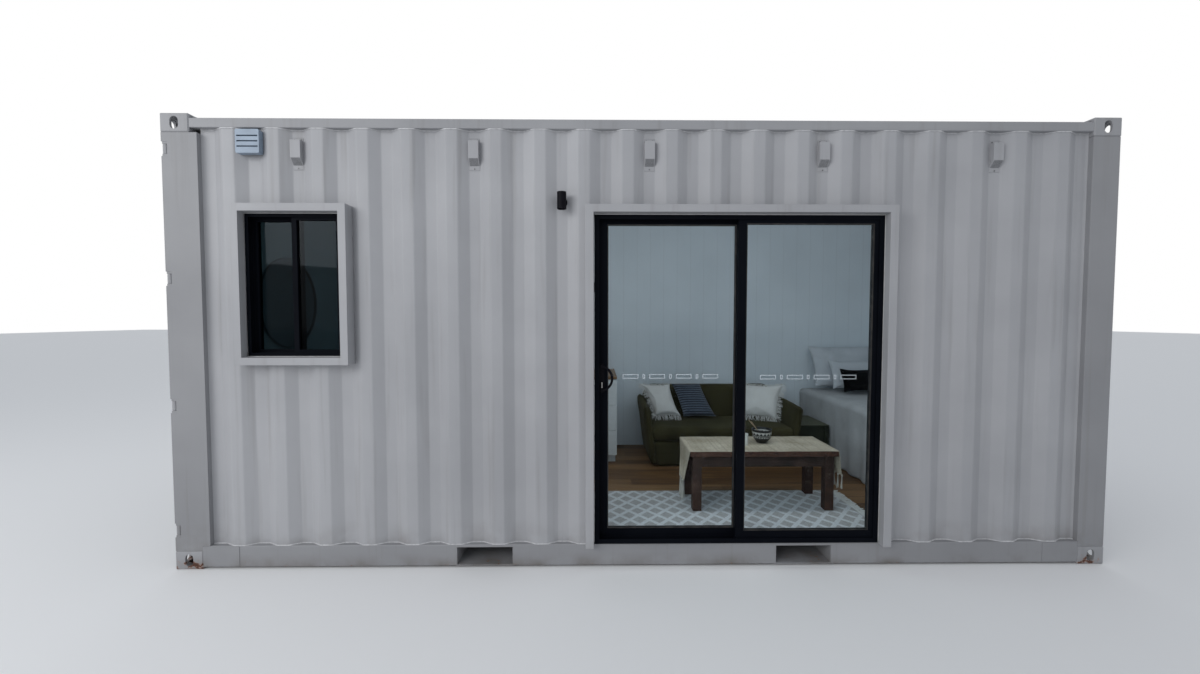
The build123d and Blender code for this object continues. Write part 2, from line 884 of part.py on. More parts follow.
# Locking gear: four rods in saddles, with hooked cams, handles on hubs, and catches
bracket_levels = [leaf_bottom + leaf_frame, handle_height - handle_bracket_gap, leaf_top - leaf_frame]
with BuildPart() as door_locking_gear:
    with BuildSketch(Plane.XY.offset(rod_bottom)):
        with Locations(*[(rod_x, place) for place in rod_places]):
            RegularPolygon(lock_rod / 2, bar_sides)
    extrude(amount=rod_top - rod_bottom)
    for level in bracket_levels:
        with BuildSketch(Plane.XY.offset(level - bracket_height / 2)):
            for place in rod_places:
                with Locations((rod_x, place)):
                    RegularPolygon(leaf_recess - lock_rod_recess, bar_sides)
                    Rectangle(
                        leaf_recess - lock_rod_recess,
                        lock_rod + 2 * bracket_steel,
                        align=(Align.MIN, Align.CENTER),
                    )
                with Locations((leaf_x, place)):
                    Rectangle(bracket_steel, bracket_width, align=(Align.MAX, Align.CENTER))
        extrude(amount=bracket_height)
    for place in rod_places:
        for level, step in ((rod_bottom, 1), (rod_top, -1)):
            with BuildSketch(Plane.YZ.offset(rod_x - cam_steel / 2)):
                with BuildLine():
                    Polyline(
                        (place - cam_length / 2, level),
                        (place + cam_length / 2, level),
                        (place + cam_length / 2, level + step * cam_nose),
                        (place + lock_rod / 2, level + step * cam_width),
                        (place - lock_rod / 2, level + step * cam_width),
                        (place - cam_length / 2, level + step * cam_nose),
                        close=True,
                    )
                make_face()
            extrude(amount=cam_steel)
    handles = [
        (rod_places[0], 1, handle_height),
        (rod_places[1], -1, handle_height + handle_stagger),
    ]
    for place, side, level in handles:
        handle_end = place + side * handle_length
        with BuildSketch(Plane.XY.offset(level - handle_bar / 2)):
            with Locations((rod_x, place)):
                RegularPolygon(lock_rod / 2 + handle_steel / 2, bar_sides)
        extrude(amount=handle_bar)
        with BuildSketch(Plane.YZ.offset(rod_x - handle_steel / 2)):
            with Locations(((place + handle_end) / 2, level)):
                Rectangle(handle_length, handle_bar)
            with Locations((handle_end, level)):
                RegularPolygon(handle_bar / 2, bar_sides)
        extrude(amount=handle_steel)
        with BuildSketch(Plane.XZ.offset(-(handle_end - side * catch_inset) - catch_width / 2)):
            with BuildLine():
                Polyline(
                    (leaf_x, level - catch_height / 2),
                    (leaf_x, level + catch_height / 2),
                    (leaf_x - bracket_steel, level + catch_height / 2),
                    (leaf_x - bracket_steel, level - handle_bar / 2 - catch_gap),
                    (rod_x - catch_reach, level - handle_bar / 2 - catch_gap),
                    (rod_x - catch_reach, level),
                    (rod_x - catch_reach - bracket_steel / 2, level),
                    (rod_x - catch_reach - bracket_steel / 2, level - catch_height / 2),
                    close=True,
                )
            make_face()
        extrude(amount=catch_width)
    mirror(about=across)
door_locking_gear.part.label = "door_locking_gear"
export_step(door_locking_gear.part, "parts/door_locking_gear.step")

# Hinges: pin through the post's lugs, knuckle, and a blade on to the door leaf
with BuildPart() as cargo_door_hinges:
    for level in hinge_levels:
        knuckle_height = hinge_height - 2 * (hinge_lug + hinge_gap)
        for width, height in ((hinge_knuckle, knuckle_height), (hinge_pin, hinge_height)):
            with BuildSketch(Plane((pin_x, pin_y, level - height / 2))):
                RegularPolygon(width / 2, bar_sides)
            extrude(amount=height)
        with Locations((-end_x + leaf_recess, pin_y, level)):
            Box(
                hinge_blade,
                door_post_depth + hinge_reach - post_shoulder / 2,
                knuckle_height,
                align=(Align.MAX, Align.MIN, Align.CENTER),
            )
    mirror(about=across)
cargo_door_hinges.part.label = "cargo_door_hinges"
export_step(cargo_door_hinges.part, "parts/cargo_door_hinges.step")

# Steel surrounds welded into the wall openings
with BuildPart() as window_surround:
    with BuildSketch(facade(-surround_projection)):
        with Locations((window_center, window_level)):
            Rectangle(
                window_hole_width + 2 * window_surround_face,
                window_hole_height + 2 * window_surround_face,
            )
            Rectangle(window_hole_width, window_hole_height, mode=Mode.SUBTRACT)
    extrude(amount=-surround_depth)
    with BuildSketch(facade(-surround_projection + surround_steel)):
        with Locations((window_center, window_level)):
            Rectangle(
                window_hole_width + 2 * (window_surround_face - surround_steel),
                window_hole_height + 2 * (window_surround_face - surround_steel),
            )
            Rectangle(
                window_hole_width + 2 * surround_steel,
                window_hole_height + 2 * surround_steel,
                mode=Mode.SUBTRACT,
            )
    extrude(amount=-(surround_depth - 2 * surround_steel), mode=Mode.SUBTRACT)
window_surround.part.label = "window_surround"
export_step(window_surround.part, "parts/window_surround.step")

door_hole_left = frame_left - frame_clearance
door_hole_right = frame_right + frame_clearance
door_hole_top = frame_top + frame_clearance
with BuildPart() as doorway_surround:
    with BuildSketch(facade(-surround_projection)):
        with BuildLine():
            Polyline(
                (door_outer_left, rail_top),
                (door_outer_left, surround_top),
                (door_outer_right, surround_top),
                (door_outer_right, rail_top),
                (door_hole_right, rail_top),
                (door_hole_right, door_hole_top),
                (door_hole_left, door_hole_top),
                (door_hole_left, rail_top),
                close=True,
            )
        make_face()
    extrude(amount=-surround_depth)
    with BuildSketch(facade(-surround_projection + surround_steel)):
        with BuildLine():
            Polyline(
                (door_outer_left + surround_steel, rail_top + surround_steel),
                (door_outer_left + surround_steel, surround_top - surround_steel),
                (door_outer_right - surround_steel, surround_top - surround_steel),
                (door_outer_right - surround_steel, rail_top + surround_steel),
                (door_hole_right + surround_steel, rail_top + surround_steel),
                (door_hole_right + surround_steel, door_hole_top + surround_steel),
                (door_hole_left - surround_steel, door_hole_top + surround_steel),
                (door_hole_left - surround_steel, rail_top + surround_steel),
                close=True,
            )
        make_face()
    extrude(amount=-(surround_depth - 2 * surround_steel), mode=Mode.SUBTRACT)
doorway_surround.part.label = "doorway_surround"
export_step(doorway_surround.part, "parts/doorway_surround.step")


def frame_ring(center_x, center_z, width, height, band):
    """Rectangular ring, band wide, inside a width by height outline."""
    with Locations((center_x, center_z)):
        Rectangle(width, height)
        Rectangle(width - 2 * band, height - 2 * band, mode=Mode.SUBTRACT)


# Door frame: two-track aluminium section mitred round the opening, on a sill packer
door_middle = (frame_left + frame_right) / 2
door_level = (frame_bottom + frame_top) / 2
lip_places = [frame_recess, frame_recess + middle_lip, frame_recess + frame_depth - frame_lip]
with BuildPart() as door_frame:
    with BuildSketch(facade(frame_recess)):
        frame_ring(door_middle, door_level, door_width, door_height, frame_base)
    extrude(amount=-frame_depth)
    for place in lip_places:
        with BuildSketch(facade(place)):
            frame_ring(door_middle, door_level, door_width, door_height, door_lip_height)
        extrude(amount=-frame_lip)
    with Locations((door_middle, front_y + rail_recess, rail_top)):
        Box(
            door_width,
            bottom_rail_flange,
            door_sill_gap,
            align=(Align.CENTER, Align.MIN, Align.MIN),
        )
    with BuildSketch(facade(0)):
        with Locations((door_middle, door_level)):
            with GridLocations(door_width + frame_clearance, packer_spacing, 2, 2):
                Rectangle(frame_clearance, packer_length)
    extrude(amount=-packer_depth)
door_frame.part.label = "door_frame"
export_step(door_frame.part, "parts/door_frame.step")

# Fixed panel in the outer track
fixed_right = frame_right - frame_base - fixed_panel_clearance
fixed_bottom = frame_bottom + frame_base + fixed_panel_clearance
fixed_top = frame_top - frame_base - fixed_panel_clearance
sliding_left = frame_left + frame_base + panel_clearance
sliding_bottom = frame_bottom + frame_base + panel_clearance
sliding_top = frame_top - frame_base - panel_clearance
sliding_width = (fixed_right - sliding_left + panel_overlap) / 2 + sliding_extra
sliding_right = sliding_left + sliding_width
fixed_left = sliding_right - panel_overlap
with BuildPart() as fixed_door_panel:
    with BuildSketch(facade(outer_track - surface_set)) as fixed_outline:
        with Locations(((fixed_left + fixed_right) / 2, (fixed_bottom + fixed_top) / 2)):
            Rectangle(fixed_right - fixed_left, fixed_top - fixed_bottom)
        fixed_pane_left = fixed_left + meeting_stile
        fixed_pane_right = fixed_right - fixed_stile
        pane_bottom = sliding_bottom + bottom_rail_width
        pane_top = sliding_top - top_rail_width
        with Locations(((fixed_pane_left + fixed_pane_right) / 2, (pane_bottom + pane_top) / 2)):
            Rectangle(fixed_pane_right - fixed_pane_left, pane_top - pane_bottom, mode=Mode.SUBTRACT)
    extrude(amount=-panel_thickness)
fixed_door_panel.part.label = "fixed_door_panel"
export_step(fixed_door_panel.part, "parts/fixed_door_panel.step")

with BuildPart() as fixed_door_glass:
    with BuildSketch(facade(outer_track - surface_set + (panel_thickness - glass_thickness) / 2)):
        with Locations(((fixed_pane_left + fixed_pane_right) / 2, (pane_bottom + pane_top) / 2)):
            Rectangle(fixed_pane_right - fixed_pane_left, pane_top - pane_bottom)
    extrude(amount=-glass_thickness)
fixed_door_glass.part.label = "fixed_door_glass"
export_step(fixed_door_glass.part, "parts/fixed_door_glass.step")

# Sliding panel in the inner track
sliding_pane_left = sliding_left + lock_stile
sliding_pane_right = sliding_right - meeting_stile
with BuildPart() as sliding_door_panel:
    with BuildSketch(facade(inner_track - surface_set)):
        with Locations(((sliding_left + sliding_right) / 2, (sliding_bottom + sliding_top) / 2)):
            Rectangle(sliding_width, sliding_top - sliding_bottom)
        with Locations(((sliding_pane_left + sliding_pane_right) / 2, (pane_bottom + pane_top) / 2)):
            Rectangle(sliding_pane_right - sliding_pane_left, pane_top - pane_bottom, mode=Mode.SUBTRACT)
    extrude(amount=-panel_thickness)
sliding_door_panel.part.label = "sliding_door_panel"
export_step(sliding_door_panel.part, "parts/sliding_door_panel.step")

with BuildPart() as sliding_door_glass:
    with BuildSketch(facade(inner_track - surface_set + (panel_thickness - glass_thickness) / 2)):
        with Locations(((sliding_pane_left + sliding_pane_right) / 2, (pane_bottom + pane_top) / 2)):
            Rectangle(sliding_pane_right - sliding_pane_left, pane_top - pane_bottom)
    extrude(amount=-glass_thickness)
sliding_door_glass.part.label = "sliding_door_glass"
export_step(sliding_door_glass.part, "parts/sliding_door_glass.step")

# Pull handle: plate on the lock stile with a bowed grip and a lock barrel
stile_face = inner_track - surface_set
plate_x = sliding_left + lock_stile / 2
plate_face = front_y + stile_face - handle_plate_thickness
grip_y = plate_face - handle_standoff
grip_reach = handle_plate_height / 2 - handle_grip
with BuildPart() as door_handle:
    with BuildSketch(facade(stile_face)):
        with Locations((plate_x, handle_center)):
            RectangleRounded(handle_plate_width, handle_plate_height, handle_plate_width / 3)
    extrude(amount=handle_plate_thickness)
    with BuildSketch(facade(stile_face - handle_plate_thickness)):
        for side in (-1, 1):
            with Locations((plate_x, handle_center + side * grip_reach)):
                RegularPolygon(handle_grip / 2, bar_sides)
    extrude(amount=handle_standoff + handle_grip / 2)
    with BuildLine() as grip_path:
        ThreePointArc(
            (plate_x, grip_y, handle_center - grip_reach),
            (plate_x + handle_bow, grip_y, handle_center),
            (plate_x, grip_y, handle_center + grip_reach),
        )
    with BuildSketch(Plane(grip_path.line @ 0, z_dir=grip_path.line % 0)):
        RegularPolygon(handle_grip / 2, bar_sides)
    sweep(path=grip_path.line)
    with BuildSketch(facade(stile_face - handle_plate_thickness)):
        with Locations((plate_x, handle_center - grip_reach / 2)):
            Circle(lock_barrel / 2)
    extrude(amount=handle_plate_thickness)
door_handle.part.label = "door_handle"
export_step(door_handle.part, "parts/door_handle.step")

# Window: two-track frame, right sash in the outer track and left sash in the inner one
with BuildPart() as window_frame:
    with BuildSketch(facade(frame_recess)):
        frame_ring(window_center, window_level, window_width, window_height, frame_base)
    extrude(amount=-frame_depth)
    for place in lip_places:
        with BuildSketch(facade(place)):
            frame_ring(window_center, window_level, window_width, window_height, window_lip_height)
        extrude(amount=-frame_lip)
    with BuildSketch(facade(0)):
        with Locations((window_center, window_level)):
            with GridLocations(window_width + frame_clearance, window_height / 2, 2, 2):
                Rectangle(frame_clearance, packer_length)
    extrude(amount=-packer_depth)
window_frame.part.label = "window_frame"
export_step(window_frame.part, "parts/window_frame.step")

sash_edge = frame_base + fixed_panel_clearance
sash_width = (window_width - 2 * sash_edge + sash_stile) / 2
sash_height = window_height - 2 * sash_edge
left_sash_x = window_center - window_width / 2 + sash_edge + sash_width / 2
right_sash_x = window_center + window_width / 2 - sash_edge - sash_width / 2
sash_places = [
    (left_sash_x, inner_track - surface_set),
    (right_sash_x, outer_track - surface_set),
]
with BuildPart() as window_sashes:
    for sash_x, sash_face in sash_places:
        with BuildSketch(facade(sash_face)):
            with Locations((sash_x, window_level)):
                Rectangle(sash_width, sash_height)
                Rectangle(sash_width - 2 * sash_stile, sash_height - 2 * sash_rail, mode=Mode.SUBTRACT)
        extrude(amount=-panel_thickness)
window_sashes.part.label = "window_sashes"
export_step(window_sashes.part, "parts/window_sashes.step")

with BuildPart() as window_glass:
    for sash_x, sash_face in sash_places:
        with BuildSketch(facade(sash_face + (panel_thickness - glass_thickness) / 2)):
            with Locations((sash_x, window_level)):
                Rectangle(sash_width - 2 * sash_stile, sash_height - 2 * sash_rail)
        extrude(amount=-glass_thickness)
window_glass.part.label = "window_glass"
export_step(window_glass.part, "parts/window_glass.step")

# Ventilators: plate in every fourth trough with a sloping hood, front and back
trough_face = front_crest + wall_depth
vent_reach = vent_count // 2
vent_places = [wall_center + step * vent_step * wall_pitch for step in range(-vent_reach, vent_reach + 1)]
with BuildPart() as ventilators:
    for place in vent_places:
        with Locations((place, trough_face, vent_top)):
            Box(
                vent_plate_width,
                vent_plate,
                vent_plate_height,
                align=(Align.CENTER, Align.MAX, Align.MAX),
            )
        with BuildSketch(Plane.YZ.offset(place - vent_hood_width / 2)):
            with BuildLine():
                hood_back = trough_face - vent_plate
                Polyline(
                    (hood_back, vent_top - vent_hood_top),
                    (hood_back - vent_hood_depth, vent_top - vent_hood_top),
                    (
                        hood_back - vent_hood_depth,
                        vent_top - vent_hood_top - vent_hood_height + vent_hood_lip,
                    ),
                    (hood_back, vent_top - vent_hood_top - vent_hood_height),
                    close=True,
                )
            make_face()
        extrude(amount=vent_hood_width)
    mirror(about=across)
ventilators.part.label = "ventilators"
export_step(ventilators.part, "parts/ventilators.step")

# Exhaust cover: square louvred cowl on a neck out of its trough
trough_count = int((half_wall - wall_crest / 2) // wall_pitch)
exhaust_x = wall_center - (trough_count - 1) * wall_pitch
exhaust_back = trough_face - exhaust_neck_length
blade_pitch = (exhaust_size - 2 * exhaust_frame) / exhaust_blades
slot_end = exhaust_back - exhaust_depth + exhaust_slot_depth
with BuildPart() as exhaust_vent:
    with BuildSketch(Plane.XZ.offset(-trough_face)):
        with Locations((exhaust_x, exhaust_center)):
            Rectangle(exhaust_neck, exhaust_neck)
    extrude(amount=exhaust_neck_length)
    with BuildSketch(Plane.XZ.offset(-exhaust_back)):
        with Locations((exhaust_x, exhaust_center)):
            RectangleRounded(exhaust_size, exhaust_size, exhaust_frame)
    extrude(amount=exhaust_depth)
    for step in range(1, exhaust_blades):
        slot_top = exhaust_center + exhaust_size / 2 - exhaust_frame - step * blade_pitch + exhaust_slot / 2
        with BuildSketch(Plane.YZ.offset(exhaust_x - exhaust_size / 2 + exhaust_frame)):
            with BuildLine():
                Polyline(
                    (exhaust_back - exhaust_depth, slot_top),
                    (exhaust_back - exhaust_depth, slot_top - exhaust_slot),
                    (slot_end, slot_top - exhaust_slot + exhaust_slot_rise),
                    (slot_end, slot_top + exhaust_slot_rise),
                    close=True,
                )
            make_face()
        extrude(amount=exhaust_size - 2 * exhaust_frame, mode=Mode.SUBTRACT)
exhaust_vent.part.label = "exhaust_vent"
export_step(exhaust_vent.part, "parts/exhaust_vent.step")

# Wall light: up-and-down body on a round base
light_x = wall_center + light_step * wall_pitch
with BuildPart() as wall_light:
    with BuildSketch(Plane.XZ.offset(-trough_face)):
        with Locations((light_x, light_center)):
            RegularPolygon(light_base / 2, round_sides)
    extrude(amount=light_base_thickness)
    with Locations((light_x, trough_face - light_base_thickness, light_center)):
        Box(
            light_arm,
            light_projection - light_base_thickness - light_width / 2,
            light_arm,
            align=(Align.CENTER, Align.MAX, Align.CENTER),
        )
    light_y = trough_face - light_projection + light_width / 2
    with BuildSketch(Plane((light_x, light_y, light_center - light_height / 2))):
        RegularPolygon(light_width / 2, round_sides)
    extrude(amount=light_height)
    for level in (light_center - light_height / 2, light_center + light_height / 2 - light_shade_depth):
        with BuildSketch(Plane((light_x, light_y, level))):
            RegularPolygon(light_width / 2 - light_shade_wall, round_sides)
        extrude(amount=light_shade_depth, mode=Mode.SUBTRACT)
wall_light.part.label = "wall_light"
export_step(wall_light.part, "parts/wall_light.step")

# Front lining: panels round the window and the doorway, with open joints
lining_front = room_front - lining_thickness
lining_height = ceiling_height - floor_top
window_lining_left = window_center - window_hole_width / 2
window_lining_right = window_center + window_hole_width / 2
with BuildPart() as front_lining:
    with BuildSketch(Plane.XZ.offset(-lining_front)):
        panels = [
            (room_left, window_lining_left - panel_joint, floor_top, ceiling_height),
            (window_lining_left, window_lining_right, window_hole_top, ceiling_height),
            (window_lining_left, window_lining_right, floor_top, window_hole_top - window_hole_height),
            (window_lining_right + panel_joint, door_hole_left - panel_joint, floor_top, ceiling_height),
            (door_hole_left, door_hole_right, door_hole_top, ceiling_height),
            (door_hole_right + panel_joint, room_right, floor_top, ceiling_height),
        ]
        for left, right, low, high in panels:
            with Locations(((left + right) / 2, (low + high) / 2)):
                Rectangle(right - left, high - low)
    extrude(amount=-lining_thickness)
front_lining.part.label = "front_lining"
export_step(front_lining.part, "parts/front_lining.step")

with BuildPart() as back_lining:
    with Locations(((room_left + room_right) / 2, room_back, floor_top)):
        Box(
            room_right - room_left,
            lining_thickness,
            lining_height,
            align=(Align.CENTER, Align.MIN, Align.MIN),
        )
back_lining.part.label = "back_lining"
export_step(back_lining.part, "parts/back_lining.step")

room_width = room_back - room_front
with BuildPart() as end_linings:
    with Locations((room_left, (room_front + room_back) / 2, floor_top)):
        Box(
            lining_thickness,
            room_width + 2 * lining_thickness,
            lining_height,
            align=(Align.MAX, Align.CENTER, Align.MIN),
        )
    with Locations((room_right, (room_front + room_back) / 2, floor_top)):
        Box(
            lining_thickness,
            room_width + 2 * lining_thickness,
            lining_height,
            align=(Align.MIN, Align.CENTER, Align.MIN),
        )
end_linings.part.label = "end_linings"
export_step(end_linings.part, "parts/end_linings.step")

with BuildPart() as ceiling:
    with Locations(((room_left + room_right) / 2, (room_front + room_back) / 2, ceiling_height)):
        Box(
            room_right - room_left + 2 * lining_thickness,
            room_width + 2 * lining_thickness,
            lining_thickness,
            align=(Align.CENTER, Align.CENTER, Align.MIN),
        )
ceiling.part.label = "ceiling"
export_step(ceiling.part, "parts/ceiling.step")

# Sofa: upholstered two-seater against the back wall, its arms flared and nearly level
sofa_back_y = room_back - sofa_back_gap
sofa_front_y = sofa_back_y - sofa_depth
sofa_right = sofa_left + sofa_width
sofa_top = floor_top + sofa_back_height
sofa_slope = sofa_flare / sofa_back_height
seat_left = sofa_left + sofa_arm + sofa_flare - sofa_slope * sofa_seat_height
seat_right = sofa_right - sofa_arm - sofa_flare + sofa_slope * sofa_seat_height
seat_level = floor_top + sofa_seat_height
seat_flare = sofa_slope * (sofa_back_height - sofa_seat_height)
arm_step = sofa_slope * (sofa_back_height - sofa_arm_height)
with BuildPart() as sofa:
    with BuildSketch(Plane.YZ.offset(sofa_left)):
        with BuildLine():
            Polyline(
                (sofa_front_y, floor_top),
                (sofa_front_y, floor_top + sofa_arm_height - sofa_arm_drop),
                (sofa_back_y - sofa_back_depth, floor_top + sofa_arm_height),
                (sofa_back_y - sofa_back_depth, sofa_top),
                (sofa_back_y, sofa_top),
                (sofa_back_y, floor_top),
                close=True,
            )
        make_face()
    extrude(amount=sofa_width)
    with BuildSketch(Plane.XZ.offset(-sofa_front_y)):
        with BuildLine():
            Polyline(
                (sofa_left + sofa_flare, floor_top),
                (sofa_left + arm_step, floor_top + sofa_arm_height),
                (sofa_left + sofa_shoulder, sofa_top),
                (sofa_right - sofa_shoulder, sofa_top),
                (sofa_right - arm_step, floor_top + sofa_arm_height),
                (sofa_right - sofa_flare, floor_top),
                close=True,
            )
        make_face()
    extrude(amount=-sofa_depth, mode=Mode.INTERSECT)
    with BuildSketch(Plane.XZ.offset(-sofa_front_y)):
        with BuildLine():
            Polyline(
                (seat_left, seat_level),
                (seat_left - seat_flare, sofa_top),
                (seat_right + seat_flare, sofa_top),
                (seat_right, seat_level),
                close=True,
            )
        make_face()
    extrude(amount=-(sofa_depth - sofa_back_depth), mode=Mode.SUBTRACT)
    fillet(sofa.edges().group_by(Axis.Z)[-1].filter_by(Axis.X), sofa_corner)
    front_edges = sofa.edges().group_by(Axis.Y)[0]
    fillet((front_edges - front_edges.filter_by(Axis.X)).sort_by(Axis.X)[0], sofa_corner)
    front_edges = sofa.edges().group_by(Axis.Y)[0]
    fillet((front_edges - front_edges.filter_by(Axis.X)).sort_by(Axis.X)[-1], sofa_corner)
sofa.part.label = "sofa"
export_step(sofa.part, "parts/sofa.step")

# Coffee table: boarded top on square legs with an apron
table_front_y = front_y + table_front
table_middle = (table_left + table_length / 2, table_front_y + table_depth / 2)
leg_span_x = table_length - 2 * table_leg_inset - table_leg
leg_span_y = table_depth - 2 * table_leg_inset - table_leg
table_base = floor_top + rug_thickness
with BuildPart() as coffee_table:
    with BuildSketch(Plane.XY.offset(floor_top + table_height - table_top)):
        with Locations(table_middle):
            Rectangle(table_length, table_depth)
    extrude(amount=table_top)
    with BuildSketch(Plane.XY.offset(table_base)):
        with Locations(table_middle):
            with GridLocations(leg_span_x, leg_span_y, 2, 2):
                Rectangle(table_leg, table_leg)
    extrude(amount=floor_top + table_height - table_top - table_base)
    with BuildSketch(Plane.XY.offset(floor_top + table_height - table_top)):
        with Locations(table_middle):
            Rectangle(leg_span_x + table_apron_thickness, leg_span_y + table_apron_thickness)
            Rectangle(
                leg_span_x - table_apron_thickness,
                leg_span_y - table_apron_thickness,
                mode=Mode.SUBTRACT,
            )
    extrude(amount=-table_apron)
coffee_table.part.label = "coffee_table"
export_step(coffee_table.part, "parts/coffee_table.step")

# Table runner: woven strip over the top, hanging at both ends
runner_top = floor_top + table_height + runner_thickness
with BuildPart() as table_runner:
    with BuildSketch(Plane.XZ.offset(-(table_middle[1] - runner_width / 2))):
        with BuildLine():
            Polyline(
                (table_left - runner_thickness, runner_top),
                (table_left + table_length + runner_thickness, runner_top),
                (table_left + table_length + runner_thickness, runner_top - runner_right_drop),
                (table_left + table_length, runner_top - runner_right_drop),
                (table_left + table_length, runner_top - runner_thickness),
                (table_left, runner_top - runner_thickness),
                (table_left, runner_top - runner_left_drop),
                (table_left - runner_thickness, runner_top - runner_left_drop),
                close=True,
            )
        make_face()
    extrude(amount=-runner_width)
table_runner.part.label = "table_runner"
export_step(table_runner.part, "parts/table_runner.step")

# Bowl on the runner: turned, footed and open
bowl_steps = [
    (bowl_foot / 2, 0),
    (bowl_diameter / 2 * bowl_belly, bowl_height * bowl_belly_level),
    (bowl_diameter / 2, bowl_height),
]
with BuildPart() as bowl:
    for radius, level in bowl_steps:
        with BuildSketch(Plane((bowl_x, front_y + bowl_depth_position, runner_top + level))):
            RegularPolygon(radius, round_sides)
    loft(ruled=True)
    for radius, level in bowl_steps:
        level = max(level, bowl_wall)
        with BuildSketch(Plane((bowl_x, front_y + bowl_depth_position, runner_top + level))):
            RegularPolygon(radius - bowl_wall, round_sides)
    loft(ruled=True, mode=Mode.SUBTRACT)
bowl.part.label = "bowl"
export_step(bowl.part, "parts/bowl.step")

with BuildPart() as candle:
    with BuildSketch(Plane.XY.offset(runner_top)):
        with Locations((candle_x, front_y + candle_depth_position)):
            RegularPolygon(candle_diameter / 2, round_sides)
    extrude(amount=candle_height)
candle.part.label = "candle"
export_step(candle.part, "parts/candle.step")

with BuildPart() as rug:
    with Locations((rug_left, front_y + rug_front, floor_top)):
        Box(rug_length, rug_width, rug_thickness, align=(Align.MIN, Align.MIN, Align.MIN))
rug.part.label = "rug"
export_step(rug.part, "parts/rug.step")

# Side table: square legs with panels between them and a thin top, between the sofa and the bed
side_table_middle = (
    side_table_left + side_table_width / 2,
    sofa_front_y + side_table_setback + side_table_depth / 2,
)
with BuildPart() as side_table:
    with BuildSketch(Plane.XY.offset(floor_top)):
        with Locations(side_table_middle):
            with GridLocations(side_table_width - side_table_leg, side_table_depth - side_table_leg, 2, 2):
                Rectangle(side_table_leg, side_table_leg)
    extrude(amount=side_table_height - side_table_top)
    with BuildSketch(Plane.XY.offset(floor_top + side_table_foot)):
        with Locations(side_table_middle):
            Rectangle(side_table_width - side_table_leg, side_table_depth - side_table_leg)
            Rectangle(
                side_table_width - side_table_leg - 2 * side_table_panel,
                side_table_depth - side_table_leg - 2 * side_table_panel,
                mode=Mode.SUBTRACT,
            )
    extrude(amount=side_table_height - side_table_top - side_table_foot)
    with BuildSketch(Plane.XY.offset(floor_top + side_table_height)):
        with Locations(side_table_middle):
            Rectangle(side_table_width, side_table_depth)
    extrude(amount=-side_table_top)
side_table.part.label = "side_table"
export_step(side_table.part, "parts/side_table.step")

# Bed: single bed across the end of the room, its spread down to the floor
bed_right_x = room_right - wall_gap
bed_back_y = room_back - wall_gap
bed_front_y = front_y + bed_front
with BuildPart() as bed:
    with Locations((bed_left, bed_front_y, floor_top)):
        Box(
            bed_right_x - bed_left,
            bed_back_y - bed_front_y,
            bed_height,
            align=(Align.MIN, Align.MIN, Align.MIN),
        )
    fillet(bed.edges().group_by(Axis.Z)[-1], bed_corner)
bed.part.label = "bed"
export_step(bed.part, "parts/bed.step")

# Pillows: two leaning on the back wall, one flat, and a dark cushion in front
bed_top = floor_top + bed_height
pillow_foot = pillow_height * sin(radians(pillow_lean)) + wall_gap
pillow_step = pillow_thickness / cos(radians(pillow_lean)) + wall_gap
pillow_places = [
    (bed_left + pillow_inset, (pillow_width, pillow_height, pillow_thickness), pillow_foot),
    (
        bed_right_x - pillow_inset - pillow_width,
        (pillow_width, pillow_height * second_pillow, pillow_thickness),
        pillow_foot + pillow_step,
    ),
    (bolster_left, (bolster_width, bolster_height, bolster_thickness), pillow_foot + 2 * pillow_step),
]
with BuildPart() as pillows:
    for place, size, forward in pillow_places:
        width, height, thickness = size
        with BuildSketch(Plane.YZ.offset(place)):
            with Locations(Location((bed_back_y - forward, bed_top), -pillow_lean)):
                Rectangle(thickness, height, align=(Align.MAX, Align.MIN))
        extrude(amount=width)
pillows.part.label = "pillows"
export_step(pillows.part, "parts/pillows.step")

# Scatter cushions: leaning on the sofa's back, two slumped to the left, the large one turned inwards
cushion_left_x = seat_left + cushion_arm_gap
small_cushion_x = cushion_left_x + cushion_width + cushion_gap
large_cushion_x = seat_right - cushion_arm_gap - large_cushion_width * cos(radians(large_cushion_turn))
left_cushion = [
    (0, 0),
    (cushion_width, 0),
    (cushion_top_width - cushion_shift, cushion_rise),
    (-cushion_shift, cushion_rise),
]
small_cushion = [
    (0, 0),
    (small_cushion_width, 0),
    (small_cushion_top_width - small_cushion_shift, cushion_rise),
    (-small_cushion_shift, cushion_rise),
]
large_cushion = [
    (0, 0),
    (large_cushion_width, 0),
    (large_cushion_width + large_cushion_shift, large_cushion_rise),
    (large_cushion_shift, large_cushion_rise),
]
cushion_places = [
    (cushion_left_x, cushion_forward, cushion_lean, 0, left_cushion),
    (small_cushion_x, cushion_forward, cushion_lean, 0, small_cushion),
    (large_cushion_x, large_cushion_forward, large_cushion_lean, -large_cushion_turn, large_cushion),
]
with BuildPart() as scatter_cushions:
    for place, forward, lean, turn, outline in cushion_places:
        cushion_lift = cushion_thickness / 2 * sin(radians(lean))
        lean_plane = Plane(
            (place, sofa_back_y - sofa_back_depth - forward, seat_level + cushion_lift),
            x_dir=(cos(radians(turn)), sin(radians(turn)), 0),
            z_dir=(
                sin(radians(turn)) * cos(radians(lean)),
                -cos(radians(turn)) * cos(radians(lean)),
                sin(radians(lean)),
            ),
        )
        with BuildSketch(lean_plane):
            with BuildLine():
                Polyline(*outline, close=True)
            make_face()
        extrude(amount=cushion_thickness / 2, both=True)
scatter_cushions.part.label = "scatter_cushions"
export_step(scatter_cushions.part, "parts/scatter_cushions.step")

